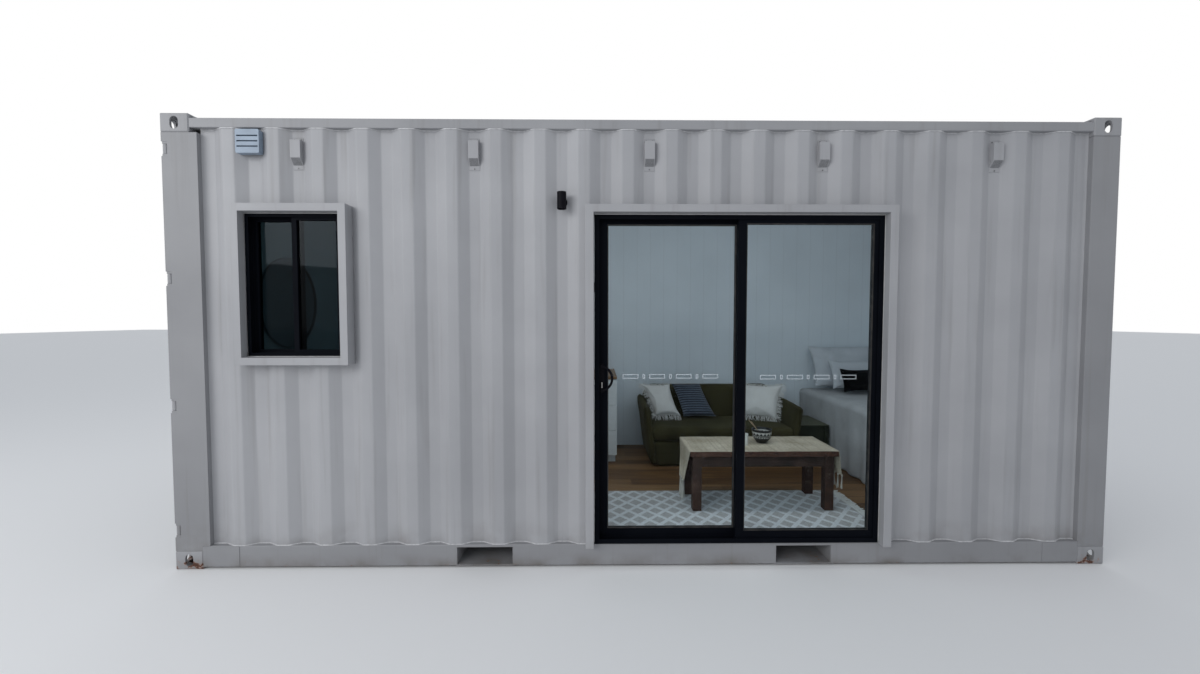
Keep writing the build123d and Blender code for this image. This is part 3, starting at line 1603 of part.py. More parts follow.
# Kitchen cabinet: carcass with two doors, a recessed kick and a timber worktop
cabinet_left_x = cabinet_right - cabinet_length
cabinet_back_y = room_back - wall_gap
cabinet_front_y = cabinet_back_y - cabinet_depth
with BuildPart() as kitchen_cabinet:
    with Locations((cabinet_left_x, cabinet_back_y, floor_top + cabinet_kick)):
        Box(
            cabinet_length,
            cabinet_depth - cabinet_door,
            cabinet_height - cabinet_kick,
            align=(Align.MIN, Align.MAX, Align.MIN),
        )
    with Locations((cabinet_left_x, cabinet_back_y, floor_top)):
        Box(
            cabinet_length,
            cabinet_depth - cabinet_door - cabinet_kick_recess,
            cabinet_kick,
            align=(Align.MIN, Align.MAX, Align.MIN),
        )
    with BuildSketch(Plane.XZ.offset(-(cabinet_front_y + cabinet_door))):
        with Locations(
            (cabinet_left_x + cabinet_length / 2, floor_top + (cabinet_height + cabinet_kick) / 2)
        ):
            with GridLocations(cabinet_length / 2, 0, 2, 1):
                Rectangle(
                    cabinet_length / 2 - cabinet_door_gap,
                    cabinet_height - cabinet_kick - cabinet_door_gap,
                )
    extrude(amount=cabinet_door)
    with Locations((cabinet_left_x, cabinet_back_y, floor_top + cabinet_height)):
        Box(
            cabinet_length + worktop_overhang,
            cabinet_depth + worktop_overhang,
            worktop,
            align=(Align.MIN, Align.MAX, Align.MIN),
        )
kitchen_cabinet.part.label = "kitchen_cabinet"
export_step(kitchen_cabinet.part, "parts/kitchen_cabinet.step")

# Round mirror with a thin raised rim on the door-end lining
with BuildPart() as wall_mirror:
    with BuildSketch(Plane.YZ.offset(room_left)):
        with Locations((front_y + mirror_depth_position, mirror_height)):
            Circle(mirror_diameter / 2)
    extrude(amount=mirror_thickness)
    with BuildSketch(Plane.YZ.offset(room_left + mirror_thickness)):
        with Locations((front_y + mirror_depth_position, mirror_height)):
            Circle(mirror_diameter / 2 - mirror_rim)
    extrude(amount=-mirror_rim, mode=Mode.SUBTRACT)
wall_mirror.part.label = "wall_mirror"
export_step(wall_mirror.part, "parts/wall_mirror.step")
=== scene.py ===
import bmesh
import bpy
from math import atan2, ceil, cos, pi, radians, sin, tan
from random import Random
from mathutils import Matrix, Vector, noise
from mathutils.kdtree import KDTree


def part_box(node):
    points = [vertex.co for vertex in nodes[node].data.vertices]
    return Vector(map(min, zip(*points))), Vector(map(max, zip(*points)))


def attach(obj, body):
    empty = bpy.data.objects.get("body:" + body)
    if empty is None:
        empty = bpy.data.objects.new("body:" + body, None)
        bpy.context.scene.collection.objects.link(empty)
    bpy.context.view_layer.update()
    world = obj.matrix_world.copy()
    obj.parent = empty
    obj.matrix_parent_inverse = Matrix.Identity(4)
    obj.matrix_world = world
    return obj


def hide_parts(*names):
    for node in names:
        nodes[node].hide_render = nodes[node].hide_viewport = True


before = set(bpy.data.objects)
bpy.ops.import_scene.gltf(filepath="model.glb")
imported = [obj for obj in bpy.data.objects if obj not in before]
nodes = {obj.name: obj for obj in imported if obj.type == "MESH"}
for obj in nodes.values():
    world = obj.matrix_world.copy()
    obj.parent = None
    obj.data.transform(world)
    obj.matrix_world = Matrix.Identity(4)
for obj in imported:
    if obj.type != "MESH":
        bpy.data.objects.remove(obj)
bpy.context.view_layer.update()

# The camera stands just left of the doorway's middle, at eye height, with a very wide lens.
# It looks slightly down, and its picture is 1200 by 674 pixels.
picture_width = 1200
focal_pixels = 480
eye_height = 1.626
eye_distance = 3.063
eye_x = -0.3275
look_down, look_right = 0.0409, 0.0116
casting_low, casting_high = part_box("bottom_corner_castings")
eye = bpy.data.cameras.new("eye")
eye.sensor_width = 36
eye.lens = eye.sensor_width * focal_pixels / picture_width
camera = bpy.data.objects.new("camera", eye)
camera.location = (eye_x, casting_low.y - eye_distance, eye_height)
camera.rotation_euler = (pi / 2 - look_down, 0, -look_right)
scene = bpy.context.scene
scene.collection.objects.link(camera)
scene.camera = camera
scene.view_settings.view_transform = "Standard"


class Tone:
    """A socket in a finish: operators add Math nodes, and node() adds any other node."""

    def __init__(self, tree, socket=None):
        self.tree = tree
        self.socket = socket

    def node(self, kind, settings, values, output=0):
        made = self.tree.nodes.new(kind)
        for name, setting in settings.items():
            if name == "stops":
                ramp = made.color_ramp.elements
                ramp.remove(ramp[1])
                ramp[0].position, ramp[0].color = setting[0][0], (*setting[0][1], 1)
                for position, color in setting[1:]:
                    ramp.new(position).color = (*color, 1)
            else:
                setattr(made, name, setting)
        for name, value in values.items():
            socket = next((one for one in made.inputs if one.identifier == name), None) or made.inputs[name]
            if isinstance(value, Tone):
                self.tree.links.new(value.socket, socket)
            else:
                socket.default_value = value
        return Tone(self.tree, made.outputs[output])

    def math(self, operation, first, second=0.0):
        return self.node("ShaderNodeMath", {"operation": operation}, {"Value": first, "Value_001": second})

    def __add__(self, other):
        return self.math("ADD", self, other)

    __radd__ = __add__

    def __sub__(self, other):
        return self.math("SUBTRACT", self, other)

    def __rsub__(self, other):
        return self.math("SUBTRACT", other, self)

    def __mul__(self, other):
        return self.math("MULTIPLY", self, other)

    __rmul__ = __mul__

    def __truediv__(self, other):
        return self.math("DIVIDE", self, other)

    def __or__(self, other):
        return self.math("MAXIMUM", self, other)

    def wave(self):
        return self.math("SINE", self)

    def from_half(self, shift=100):
        """How far this is from the nearest number and a half; the shift keeps it above 0."""
        return self.math("ABSOLUTE", self.math("FRACT", self + shift) - 0.5)

    def ramp(self, low, high):
        """0 below low, 1 above high, and even in between; low may be the larger."""
        values = {"Value": self, "From Min": low, "From Max": high}
        return self.node("ShaderNodeMapRange", {"clamp": True}, values)

    def blend(self, first, second):
        """The first colour where this is 0 and the second where it is 1."""
        first, second = (one if isinstance(one, Tone) else (*one, 1) for one in (first, second))
        values = {"Factor_Float": self, "A_Color": first, "B_Color": second}
        return self.node("ShaderNodeMix", {"data_type": "RGBA"}, values, output=2)

    def shades(self, *stops):
        """A colour from stops, each a level of this and its colour."""
        return self.node("ShaderNodeValToRGB", {"stops": stops}, {"Fac": self})

    def part(self, axis):
        return self.node("ShaderNodeSeparateXYZ", {}, {"Vector": self}, output=axis)

    def dot(self, way):
        """How far a place is along a direction."""
        values = {"Vector": self, "Vector_001": tuple(way)}
        return self.node("ShaderNodeVectorMath", {"operation": "DOT_PRODUCT"}, values, output="Value")

    def drawn(self, stretch):
        """A place scaled along each axis, which draws its noise out as grain."""
        return self.node("ShaderNodeMapping", {}, {"Vector": self, "Scale": stretch})

    def cloud(self, scale, detail=2, rough=0.5):
        """Noise over a place."""
        values = {"Vector": self, "Scale": scale, "Detail": detail, "Roughness": rough}
        return self.node("ShaderNodeTexNoise", {}, values)

    def bump(self, strength, distance):
        """This height as relief."""
        return self.node("ShaderNodeBump", {}, {"Height": self, "Strength": strength, "Distance": distance})


# The studio: a pale floor far larger than the cabin, an even pale sky, and one broad lamp high
# on the left, as the photograph is brighter there. Eye, gloss and glass see the sky as white.
sky_tint = (0.92, 0.97, 1.04, 1)
sky_strength = 0.59
world = bpy.data.worlds.new("sky")
scene.world = world
world.use_nodes = True
sky = Tone(world.node_tree)
sky_light = world.node_tree.nodes["Background"]
sky_light.inputs["Color"].default_value = sky_tint
sky_light.inputs["Strength"].default_value = sky_strength
camera_ray, glossy_ray, glass_ray = (
    sky.node("ShaderNodeLightPath", {}, {}, output=name)
    for name in ("Is Camera Ray", "Is Glossy Ray", "Is Transmission Ray")
)
white_sky = sky.node("ShaderNodeBackground", {}, {"Color": (1, 1, 1, 1), "Strength": 1.0})
plain_sky = Tone(world.node_tree, sky_light.outputs[0])
sky_values = {"Fac": camera_ray | glossy_ray | glass_ray, "Shader": plain_sky, "Shader_001": white_sky}
both_skies = sky.node("ShaderNodeMixShader", {}, sky_values)
world.node_tree.links.new(both_skies.socket, world.node_tree.nodes["World Output"].inputs["Surface"])


def new_finish(name, **constants):
    """A material, its shader with the constant sockets set, and the place of each point on the piece."""
    material = bpy.data.materials.new(name)
    material.use_nodes = True
    shader = material.node_tree.nodes["Principled BSDF"]
    for socket, value in constants.items():
        shader.inputs[socket.replace("_", " ")].default_value = value
    place = Tone(material.node_tree).node("ShaderNodeTexCoord", {}, {}, output="Object")
    return material, shader, place


def feed(shader, **tones):
    """Links tones to the shader's sockets, the words of a socket joined by _."""
    for socket, tone in tones.items():
        tone.tree.links.new(tone.socket, shader.inputs[socket.replace("_", " ")])


def soft_lamp(name, length, width, power, stand, aim):
    """A broad soft lamp at stand that faces aim."""
    data = bpy.data.lights.new(name, "AREA")
    data.shape = "RECTANGLE"
    data.size, data.size_y, data.energy = length, width, power
    lamp = bpy.data.objects.new(name, data)
    lamp.location = stand
    lamp.rotation_euler = (Vector(aim) - lamp.location).to_track_quat("-Z", "Y").to_euler()
    scene.collection.objects.link(lamp)
    return lamp


ground_reach, ground_drop = 60, 0.0005
ground = bpy.data.meshes.new("ground")
ground_corners = ((-1, -1), (1, -1), (1, 1), (-1, 1))
ground.from_pydata([(x * ground_reach, y * ground_reach, 0) for x, y in ground_corners], [], [(0, 1, 2, 3)])
ground.materials.append(new_finish("pale_ground", Roughness=0.9, Base_Color=(0.86, 0.86, 0.86, 1))[0])
studio_floor = bpy.data.objects.new("studio_floor", ground)
studio_floor.location.z = -ground_drop
scene.collection.objects.link(studio_floor)
soft_lamp("broad_lamp", 7, 4, 330, (-6.4, -7.6, 4.6), (0.2, -1, 1.1))

# Shell: steel under off-white container paint, sprayed on, dusty and streaked by rain, with rust
# coming through chips along the bottom and round the castings.
paint_light = (0.335, 0.337, 0.350)
paint_dull = (0.285, 0.287, 0.300)
paint_streak = (0.17, 0.16, 0.148)
paint_dirt = (0.11, 0.09, 0.07)
rust_bright = (0.32, 0.11, 0.035)
rust_dark = (0.075, 0.03, 0.018)


def shell_finish(name, chip_level, chip_limit, dirt_level, tint=1.0):
    """Weathered paint: chips to rust up to chip_level metres, dirt up to dirt_level. tint scales the paint's colours
    part by part, a painted light and shade for how brightly each part is lit.
    """
    material, shader, place = new_finish(name, Specular_IOR_Level=0.35)
    level = place.part("Z")
    clouds, patches = place.cloud(1.3, 5), place.cloud(5.5, 6)
    spots, peel = place.cloud(34, 7, 0.62), place.cloud(260)
    runs = place.drawn((22, 22, 0.9)).cloud(1, 4)
    light, dull = ([one * tint for one in paint] for paint in (paint_light, paint_dull))
    color = clouds.ramp(0.35, 0.68).blend(light, dull)
    streaked = (runs.ramp(0.56, 0.80) * 0.30).blend(color, paint_streak)
    dirt = (level.ramp(dirt_level, 0.0) * patches.ramp(0.42, 0.70) * 0.75).blend(streaked, paint_dirt)
    near = level.ramp(chip_level, chip_level * 0.35)
    broken = spots + patches * 0.45 + near * 0.16
    chips = broken.ramp(chip_limit, chip_limit + 0.02) * near
    stained = (broken.ramp(chip_limit - 0.06, chip_limit) * near * 0.55).blend(dirt, rust_bright)
    feed(
        shader,
        Base_Color=chips.blend(stained, rust_dark),
        Roughness=0.42 + clouds * 0.16 + chips * 0.3,
        Normal=(peel * 0.25 - chips).bump(0.35, 0.0008),
    )
    return material


def mottled(name, cloud, limits, first, second, rough=None, relief=None, **constants):
    """A finish of two colours mottled by a cloud, with its roughness (least, growth) and relief
    (scale, detail, strength, distance) where they vary too."""
    material, shader, place = new_finish(name, **constants)
    mottle = place.cloud(*cloud)
    feed(shader, Base_Color=mottle.ramp(*limits).blend(first, second))
    if rough:
        feed(shader, Roughness=rough[0] + mottle * rough[1])
    if relief:
        feed(shader, Normal=place.cloud(*relief[:2]).bump(*relief[2:]))
    return material


def coat(finish, *names, edge=0.0):
    """Gives the finish to CAD nodes and rounds their sharp edges a little, as paint and rolling do."""
    for name in names:
        for one in nodes[name].material_slots:
            one.material = finish
        if edge:
            weld = nodes[name].modifiers.new("joined_faces", "WELD")
            weld.merge_threshold = 0.00005
            bevel = nodes[name].modifiers.new("rounded_edges", "BEVEL")
            bevel.width = edge
            bevel.segments = 2
            bevel.limit_method = "ANGLE"
            bevel.angle_limit = radians(40)
            bevel.use_clamp_overlap = True


casting_edge, rail_edge = 0.003, 0.0015
coat(shell_finish("casting_paint", 0.10, 0.97, 0.10), "bottom_corner_castings", edge=casting_edge)
top_paint = shell_finish("top_paint", 0.01, 1.4, 0.01, tint=0.97)
coat(top_paint, "top_corner_castings", edge=casting_edge)
coat(top_paint, "top_side_rails", edge=rail_edge)
coat(top_paint, "roof")

# Posts: pressed steel, 6 mm thick, with a pocket for each hinge at the cargo-door end.
# They are welded between the castings and painted with them.
# The posts' paint is the castings' paint made darker (tint 0.84), a painted shade.
post_paint = shell_finish("post_paint", 0.12, 1.1, 0.3, tint=0.84)
coat(post_paint, "door_end_posts", "blank_end_posts", edge=0.004)

# Rails, end sills and fork pockets: pressed channels, the bottom ones chipped and spattered.
# The cross members under the floor have plain dull paint.
# The rails' paint is made darker too (tint 0.84), a painted shade.
rail_paint = shell_finish("rail_paint", 0.10, 1.12, 0.10, tint=0.84)
coat(rail_paint, "bottom_side_rails", edge=rail_edge)
coat(rail_paint, "door_end_rails", "blank_end_rails", "fork_pockets")
member_paint = mottled("member_paint", (12, 6), (0.35, 0.7), (0.12, 0.115, 0.11), (0.06, 0.045, 0.035), Roughness=0.7)
coat(member_paint, "cross_members")

# Pressed walls: 2 mm sheet bent into troughs, each bend rounded by the press.
# Each panel runs from rail to rail and is slightly uneven, as such sheets are.
sheet = 0.002
wall_pitch, wall_crest, wall_slope, wall_depth = 0.278, 0.072, 0.068, 0.036
wall_center = 0.0235
wall_bend = 0.030
crest_inset = 0.006
# The walls' paint is made lighter (tint 1.16), a painted light that makes up for the shade in the troughs.
wall_paint = shell_finish("wall_paint", 0.24, 1.16, 0.30, tint=1.16)


def bent_section(corners, radius, steps=4):
    """Line through the corners with each bend rounded, as a press leaves it."""
    line = [corners[0]]
    for before, corner, after in zip(corners, corners[1:], corners[2:]):
        inward = (corner - before).normalized()
        outward = (after - corner).normalized()
        reach = radius * tan(inward.angle(outward) / 2)
        start, end = corner - inward * reach, corner + outward * reach
        for step in range(steps + 1):
            part = step / steps
            line.append(start * (1 - part) ** 2 + corner * 2 * part * (1 - part) + end * part**2)
    line.append(corners[-1])
    return line


def cut_section(line, low, high):
    """The stretch of a section between two places along it."""
    kept = []
    for first, second in zip(line, line[1:]):
        if second.x <= low or first.x >= high:
            continue
        step = second - first
        start = first if first.x >= low else first + step * ((low - first.x) / step.x)
        end = second if second.x <= high else first + step * ((high - first.x) / step.x)
        kept += [start, end] if not kept else [end]
    return kept


def trough_corners(center, reach, pitch, crest, slope, depth):
    """Corners of a row of troughs, one of them at center."""
    half = (pitch - crest) / 2 - slope
    corners = []
    count = ceil(reach / pitch) + 1
    for step in range(-count, count + 1):
        middle = center + step * pitch
        corners += [Vector((middle - half - slope, 0)), Vector((middle - half, depth))]
        corners += [Vector((middle + half, depth)), Vector((middle + half + slope, 0))]
    return corners


def finished(form, name, sharp=38):
    """The mesh of a form, faces outwards and smooth but for edges sharper than sharp degrees."""
    bmesh.ops.recalc_face_normals(form, faces=form.faces)
    mesh = bpy.data.meshes.new(name)
    form.to_mesh(mesh)
    form.free()
    mesh.shade_smooth()
    mesh.set_sharp_from_angle(angle=radians(sharp))
    return mesh


def mesh_of(name, points, faces, sharp=38, join=0.0):
    """A mesh of points and faces, points nearer to each other than join made one."""
    form = bmesh.new()
    made = [form.verts.new(point) for point in points]
    for face in faces:
        form.faces.new([made[one] for one in face])
    if join:
        bmesh.ops.remove_doubles(form, verts=form.verts[:], dist=join)
    return finished(form, name, sharp)


def fit(name, shape, finish, replaced=None, body="cabin"):
    """Puts a form or mesh in its place as a piece of the cabin or of its sliding door."""
    mesh = finished(shape, name) if isinstance(shape, bmesh.types.BMesh) else shape
    piece = bpy.data.objects.new(name, mesh)
    scene.collection.objects.link(piece)
    mesh.materials.append(finish)
    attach(piece, body)
    if replaced:
        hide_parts(replaced)
    return piece


def press(name, node, runs, place, finish, rows=12, dent=0.0012):
    """Bent sheets as one piece: each run is a section line and the span that it is drawn out over."""
    points, faces = [], []
    for line, low, high in runs:
        first = len(points)
        count = len(line)
        for row in range(rows + 1):
            span = low + (high - low) * row / rows
            calm = min(1, row, rows - row)
            for side in (0, sheet):
                for one in line:
                    uneven = dent * calm * noise.noise(Vector((one.x * 1.9, span * 1.4, 0.3)))
                    points.append(place(one.x, one.y + side + uneven, span))
        row_step = 2 * count
        for row in range(rows):
            base = first + row * row_step
            for side in (0, count):
                for here in range(base + side, base + side + count - 1):
                    faces.append((here, here + 1, here + 1 + row_step, here + row_step))
            for here in (base, base + count - 1):
                faces.append((here, here + count, here + count + row_step, here + row_step))
        for base in (first, first + rows * row_step):
            for here in range(base, base + count - 1):
                faces.append((here, here + 1, here + 1 + count, here + count))
    fit(name, mesh_of(name, points, faces), finish, node)


front_line = bent_section(trough_corners(wall_center, 2.9, wall_pitch, wall_crest, wall_slope, wall_depth), wall_bend)
front_crest = casting_low.y + crest_inset
back_crest = casting_high.y - crest_inset


def front_place(along, depth, level):
    return (along, front_crest + depth, level)


def back_place(along, depth, level):
    return (along, back_crest - depth, level)


surround_low, surround_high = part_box("window_surround")
for part in ("left", "middle", "over_door", "right", "at_window"):
    wall = "front_wall_" + part
    low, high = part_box(wall)
    line = cut_section(front_line, low.x, high.x)
    runs = [(line, low.z, high.z)]
    if part == "at_window":
        runs = [(line, low.z, surround_low.z), (line, surround_high.z, high.z)]
    press(wall + "_pressed", wall, runs, front_place, wall_paint)
wall_low, wall_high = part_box("back_wall")
wall_line = cut_section(front_line, wall_low.x, wall_high.x)
press("back_wall_pressed", "back_wall", [(wall_line, wall_low.z, wall_high.z)], back_place, wall_paint)

# Blank end: deeper and steeper troughs, between the two pressed posts.
# The sheet is as thick as the walls' and is bent to a smaller radius.
end_line = bent_section(trough_corners(0, 1.2, 0.250, 0.110, 0.018, 0.0456), 0.012)
low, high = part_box("blank_end_wall")
middle_y = (low.y + high.y) / 2
end_face = high.x


def end_place(along, depth, level):
    return (end_face - depth, middle_y + along, level)


end_run = (cut_section(end_line, low.y - middle_y, high.y - middle_y), low.z, high.z)
press("blank_end_pressed", "blank_end_wall", [end_run], end_place, wall_paint)

# Roof: sheet with shallow ribs from side to side, cut round the corner castings and walked on,
# so it is the most uneven of all.
roof_low, roof_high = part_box("roof")
roof_center = (roof_low.x + roof_high.x) / 2
roof_line = bent_section(trough_corners(roof_center, 3.0, 0.209, 0.091, 0.0135, 0.020), 0.006, steps=3)
castings_at = casting_high.x - 0.180
castings_by = 0.164
narrow = (casting_low.y + castings_by, casting_high.y - castings_by)
roof_runs = [
    (cut_section(roof_line, roof_low.x, -castings_at), *narrow),
    (cut_section(roof_line, -castings_at, castings_at), roof_low.y, roof_high.y),
    (cut_section(roof_line, castings_at, roof_high.x), *narrow),
]


def roof_place(along, depth, across):
    return (along, across, roof_high.z - depth)


press("roof_pressed", "roof", roof_runs, roof_place, top_paint, rows=10, dent=0.002)


# Weld beads: the sheet is welded all along to the rails, posts and surrounds, and the beads are coloured far lighter
# than the wall, a painted highlight of the light that they catch.
def tube(form, points, radius, sides, closed=False):
    """A round bead through the points."""
    circle = [(radius * cos(2 * pi * side / sides), radius * sin(2 * pi * side / sides), 0) for side in range(sides)]
    rings = []
    count = len(points)
    for step, point in enumerate(points):
        after = points[(step + 1) % count] if closed or step < count - 1 else point
        before = points[step - 1] if closed or step else point
        turn = (Vector(after) - Vector(before)).normalized().to_track_quat("Z", "Y")
        rings.append([form.verts.new(Vector(point) + turn @ Vector(one)) for one in circle])
    links = list(zip(rings, rings[1:])) + ([(rings[-1], rings[0])] if closed else [])
    for ring, following in links:
        for side in range(sides):
            beside = (side + 1) % sides
            form.faces.new((ring[side], ring[beside], following[beside], following[side]))
    if not closed:
        form.faces.new(rings[0])
        form.faces.new(rings[-1])


door_surround_low, door_surround_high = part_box("doorway_surround")
bead, bead_proud = 0.004, 0.001
bead_low, bead_high = wall_low.z + bead / 2, wall_high.z - bead / 2
# The bead colour is a painted highlight, much lighter than the wall paint.
weld_highlight_finish = mottled(
    "weld_highlight_paint", (55, 3), (0.3, 0.7), (0.62, 0.62, 0.63), (0.42, 0.42, 0.43),
    relief=(55, 3, 0.6, 0.002), Roughness=0.45
)
form = bmesh.new()
for place_at, start, end, level in (
    (front_place, wall_low.x, door_surround_low.x, bead_low),
    (front_place, door_surround_high.x, wall_high.x, bead_low),
    (front_place, wall_low.x, wall_high.x, bead_high),
    (back_place, wall_low.x, wall_high.x, bead_low),
    (back_place, wall_low.x, wall_high.x, bead_high),
):
    line = cut_section(front_line, start, end)
    tube(form, [place_at(one.x, one.y - bead_proud, level) for one in line], bead, 5)
fit("weld_beads", form, weld_highlight_finish)

# Cargo doors: a steel frame round a ribbed panel, hung on pins, with black rubber seals all
# round and two locking rods each.
coat(shell_finish("leaf_paint", 0.35, 1.02, 0.5), "cargo_door_left", "cargo_door_right", edge=0.0025)
gear_finish = shell_finish("gear_finish", 2.9, 1.22, 0.4, tint=0.95)
coat(gear_finish, "door_locking_gear", "cargo_door_hinges", edge=0.0012)
seal_finish = mottled("seal_rubber", (18, 5), (0.4, 0.75), (0.012, 0.012, 0.013), (0.05, 0.047, 0.043), Roughness=0.65)


def block(form, low, high):
    """A rectangular bar between two corners."""
    low, high = Vector(low), Vector(high)
    where = Matrix.Translation((low + high) / 2) @ Matrix.Diagonal((*(high - low), 1))
    bmesh.ops.create_cube(form, size=1, matrix=where)


def ring(form, low, high, band, way=0):
    """A frame of four bars between two corners; its level bars run along X, or along Y if way is 1."""
    start, end = low[way], high[way]
    for left, right, bottom, top in (
        (start, start + band, low[2], high[2]),
        (end - band, end, low[2], high[2]),
        (start + band, end - band, low[2], low[2] + band),
        (start + band, end - band, high[2] - band, high[2]),
    ):
        first, last = Vector(low), Vector(high)
        first[way], last[way], first.z, last.z = left, right, bottom, top
        block(form, first, last)


form = bmesh.new()
seal = 0.007
for leaf in ("cargo_door_left", "cargo_door_right"):
    low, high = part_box(leaf)
    for near, far, band in ((0.012, 0.040, seal - 0.0003), (0.004, 0.012, seal * 0.55)):
        corner = (low.x + near, low.y - seal, low.z - seal)
        ring(form, corner, (low.x + far, high.y + seal, high.z + seal), band, way=1)
fit("door_seals", form, seal_finish)

# Surrounds: boxes of 3 mm steel welded into the wall round the window and the doorway, painted
# as one with it; the frames stand in them in packers and white sealant.
# The surrounds' paint is made lighter (tint 1.12), a painted light.
surround_finish = shell_finish("surround_finish", 0.30, 1.2, 0.25, tint=1.12)
coat(surround_finish, "window_surround", "doorway_surround", edge=0.0025)
sealant = mottled("sealant", (25, 4), (0.3, 0.75), (0.50, 0.50, 0.505), (0.36, 0.355, 0.35), Roughness=0.55)
form = bmesh.new()
sealant_bead, sealant_edge = 0.006, 0.0015
for inner in ("window_frame", "door_frame"):
    low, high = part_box(inner)
    all_round = inner == "window_frame"
    y = low.y + 0.002
    left, right, top = low.x - sealant_edge, high.x + sealant_edge, high.z + sealant_edge
    foot = low.z - sealant_edge if all_round else low.z + 0.02
    tube(form, [(left, y, foot), (left, y, top), (right, y, top), (right, y, foot)], sealant_bead, 8, closed=all_round)
fit("frame_sealant", form, sealant)

# Door and window sections: aluminium, powder-coated nearly black with a satin face, mitred at
# the corners. The sliding panel runs in the inner track.
frame_finish = mottled(
    "black_powder_coat", (3, 5), (0.35, 0.75), (0.0025, 0.0032, 0.0055), (0.0045, 0.0056, 0.0085),
    rough=(0.46, 0.14), relief=(900, 2, 0.12, 0.0004), Specular_IOR_Level=0.03
)
coat(frame_finish, "window_frame", "window_sashes", "door_frame", "fixed_door_panel", "sliding_door_panel", edge=0.0016)


# Glass: clear sheets with a painted reflection of a pale sky: their mirror share grows towards the top and varies in
# patches. The window's panes are tinted dark, so that little of the room shows through them.
def glass_finish(name, low_level, high_level, low_share, high_share, tint):
    """Glass of a tint with a painted reflection: its mirror share grows evenly between two levels."""
    material, shader, place = new_finish(name)
    painted_reflection_growth = place.part("Z").ramp(low_level, high_level) * (high_share - low_share)
    share = low_share + painted_reflection_growth * (0.6 + place.cloud(0.9, 3) * 0.8)
    clear = place.node("ShaderNodeBsdfTransparent", {}, {"Color": tint})
    # The mirror is tinted sky blue, a painted reflection of the sky.
    mirrored = place.node("ShaderNodeBsdfGlossy", {}, {"Color": (0.86, 0.93, 1.0, 1), "Roughness": 0.02})
    both = place.node("ShaderNodeMixShader", {}, {"Fac": share, "Shader": clear, "Shader_001": mirrored})
    material.node_tree.links.new(both.socket, material.node_tree.nodes["Material Output"].inputs["Surface"])
    return material


door_glass = glass_finish("door_glass", 1.25, 2.3, 0.002, 0.032, (0.90, 0.945, 0.965, 1))
coat(door_glass, "fixed_door_glass", "sliding_door_glass")
coat(glass_finish("window_pane", 1.3, 2.2, 0.003, 0.008, (0.22, 0.29, 0.31, 1)), "window_glass")

# Glazing beads: soft black wedges that hold each pane on both faces.
# They are pushed in all round after the pane, and move with it on the sliding panel.
panes = (("fixed_door_glass", "cabin"), ("sliding_door_glass", "sliding_door"))
bead_width, bead_reach, bead_play, face_play = 0.006, 0.009, 0.0003, 0.0002
for pane, body in panes:
    low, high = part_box(pane)
    form = bmesh.new()
    for y0, y1 in ((low.y - bead_reach, low.y - face_play), (high.y + face_play, high.y + bead_reach)):
        corner = (low.x + bead_play, y0, low.z + bead_play)
        ring(form, corner, (high.x - bead_play, y1, high.z - bead_play), bead_width)
    fit(pane + "_beads", form, seal_finish, body=body)

# Safety strip: a row of etched marks across both panes, long outlined dashes and short bars.
# They are a film on the outside of the glass.
mark_finish = mottled(
    "etched_mark", (700,), (0.2, 0.8), (0.75, 0.80, 0.84), (0.60, 0.66, 0.70), Roughness=0.6, Alpha=0.75
)
mark_level, mark_height, mark_length, mark_pitch, mark_line = 1.240, 0.028, 0.102, 0.1745, 0.004
mark_low, mark_high = mark_level - mark_height / 2, mark_level + mark_height / 2
first_mark, last_mark, last_bar, half_bar = 0.100, 0.03, 0.08, 0.008
film_inner, film_outer = 0.0002, 0.0006
for pane, body in panes:
    low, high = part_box(pane)
    form = bmesh.new()
    x = low.x + first_mark
    while x + mark_length < high.x - last_mark:
        bar = x + mark_length + (mark_pitch - mark_length) / 2
        spans = [(x, x + mark_length)] + ([(bar - half_bar, bar + half_bar)] if bar < high.x - last_bar else [])
        for start, end in spans:
            ring(form, (start, low.y - film_outer, mark_low), (end, low.y - film_inner, mark_high), mark_line)
        x += mark_pitch
    fit(pane + "_marks", form, mark_finish, body=body)


# Pull handle, lock lever and wall light: black satin metal, and a pale nickel lever beside the
# handle that moves with the sliding panel.
def spaced(low, high, count):
    """Numbers from low to high in count even steps."""
    return [low + (high - low) * one / count for one in range(count + 1)]


fitting_finish = mottled(
    "satin_black_metal", (40, 4), (0.3, 0.8), (0.003, 0.003, 0.005), (0.006, 0.006, 0.009),
    rough=(0.34, 0.2), Specular_IOR_Level=0.06
)
coat(fitting_finish, "door_handle", "wall_light")
lever_finish = mottled(
    "pale_nickel", (300,), (0, 1), (0.62, 0.61, 0.58), (0.74, 0.73, 0.70), rough=(0.25, 0.1), Metallic=1.0
)
lever_x, lever_y, lever_low, lever_high = -0.2795, -1.1485, 1.168, 1.204
form = bmesh.new()
tube(form, [(lever_x, lever_y, level) for level in spaced(lever_low, lever_high, 6)], 0.0045, 10)
fit("lock_lever", form, lever_finish, body="sliding_door")

# Ventilators: pressed plates with hoods, grey wire mesh under each hood, two screws at the top and one at the bottom.
# The exhaust cover is pale moulded sheet, coloured blue as a painted reflection of the sky.
coat(surround_finish, "ventilators", edge=0.002)
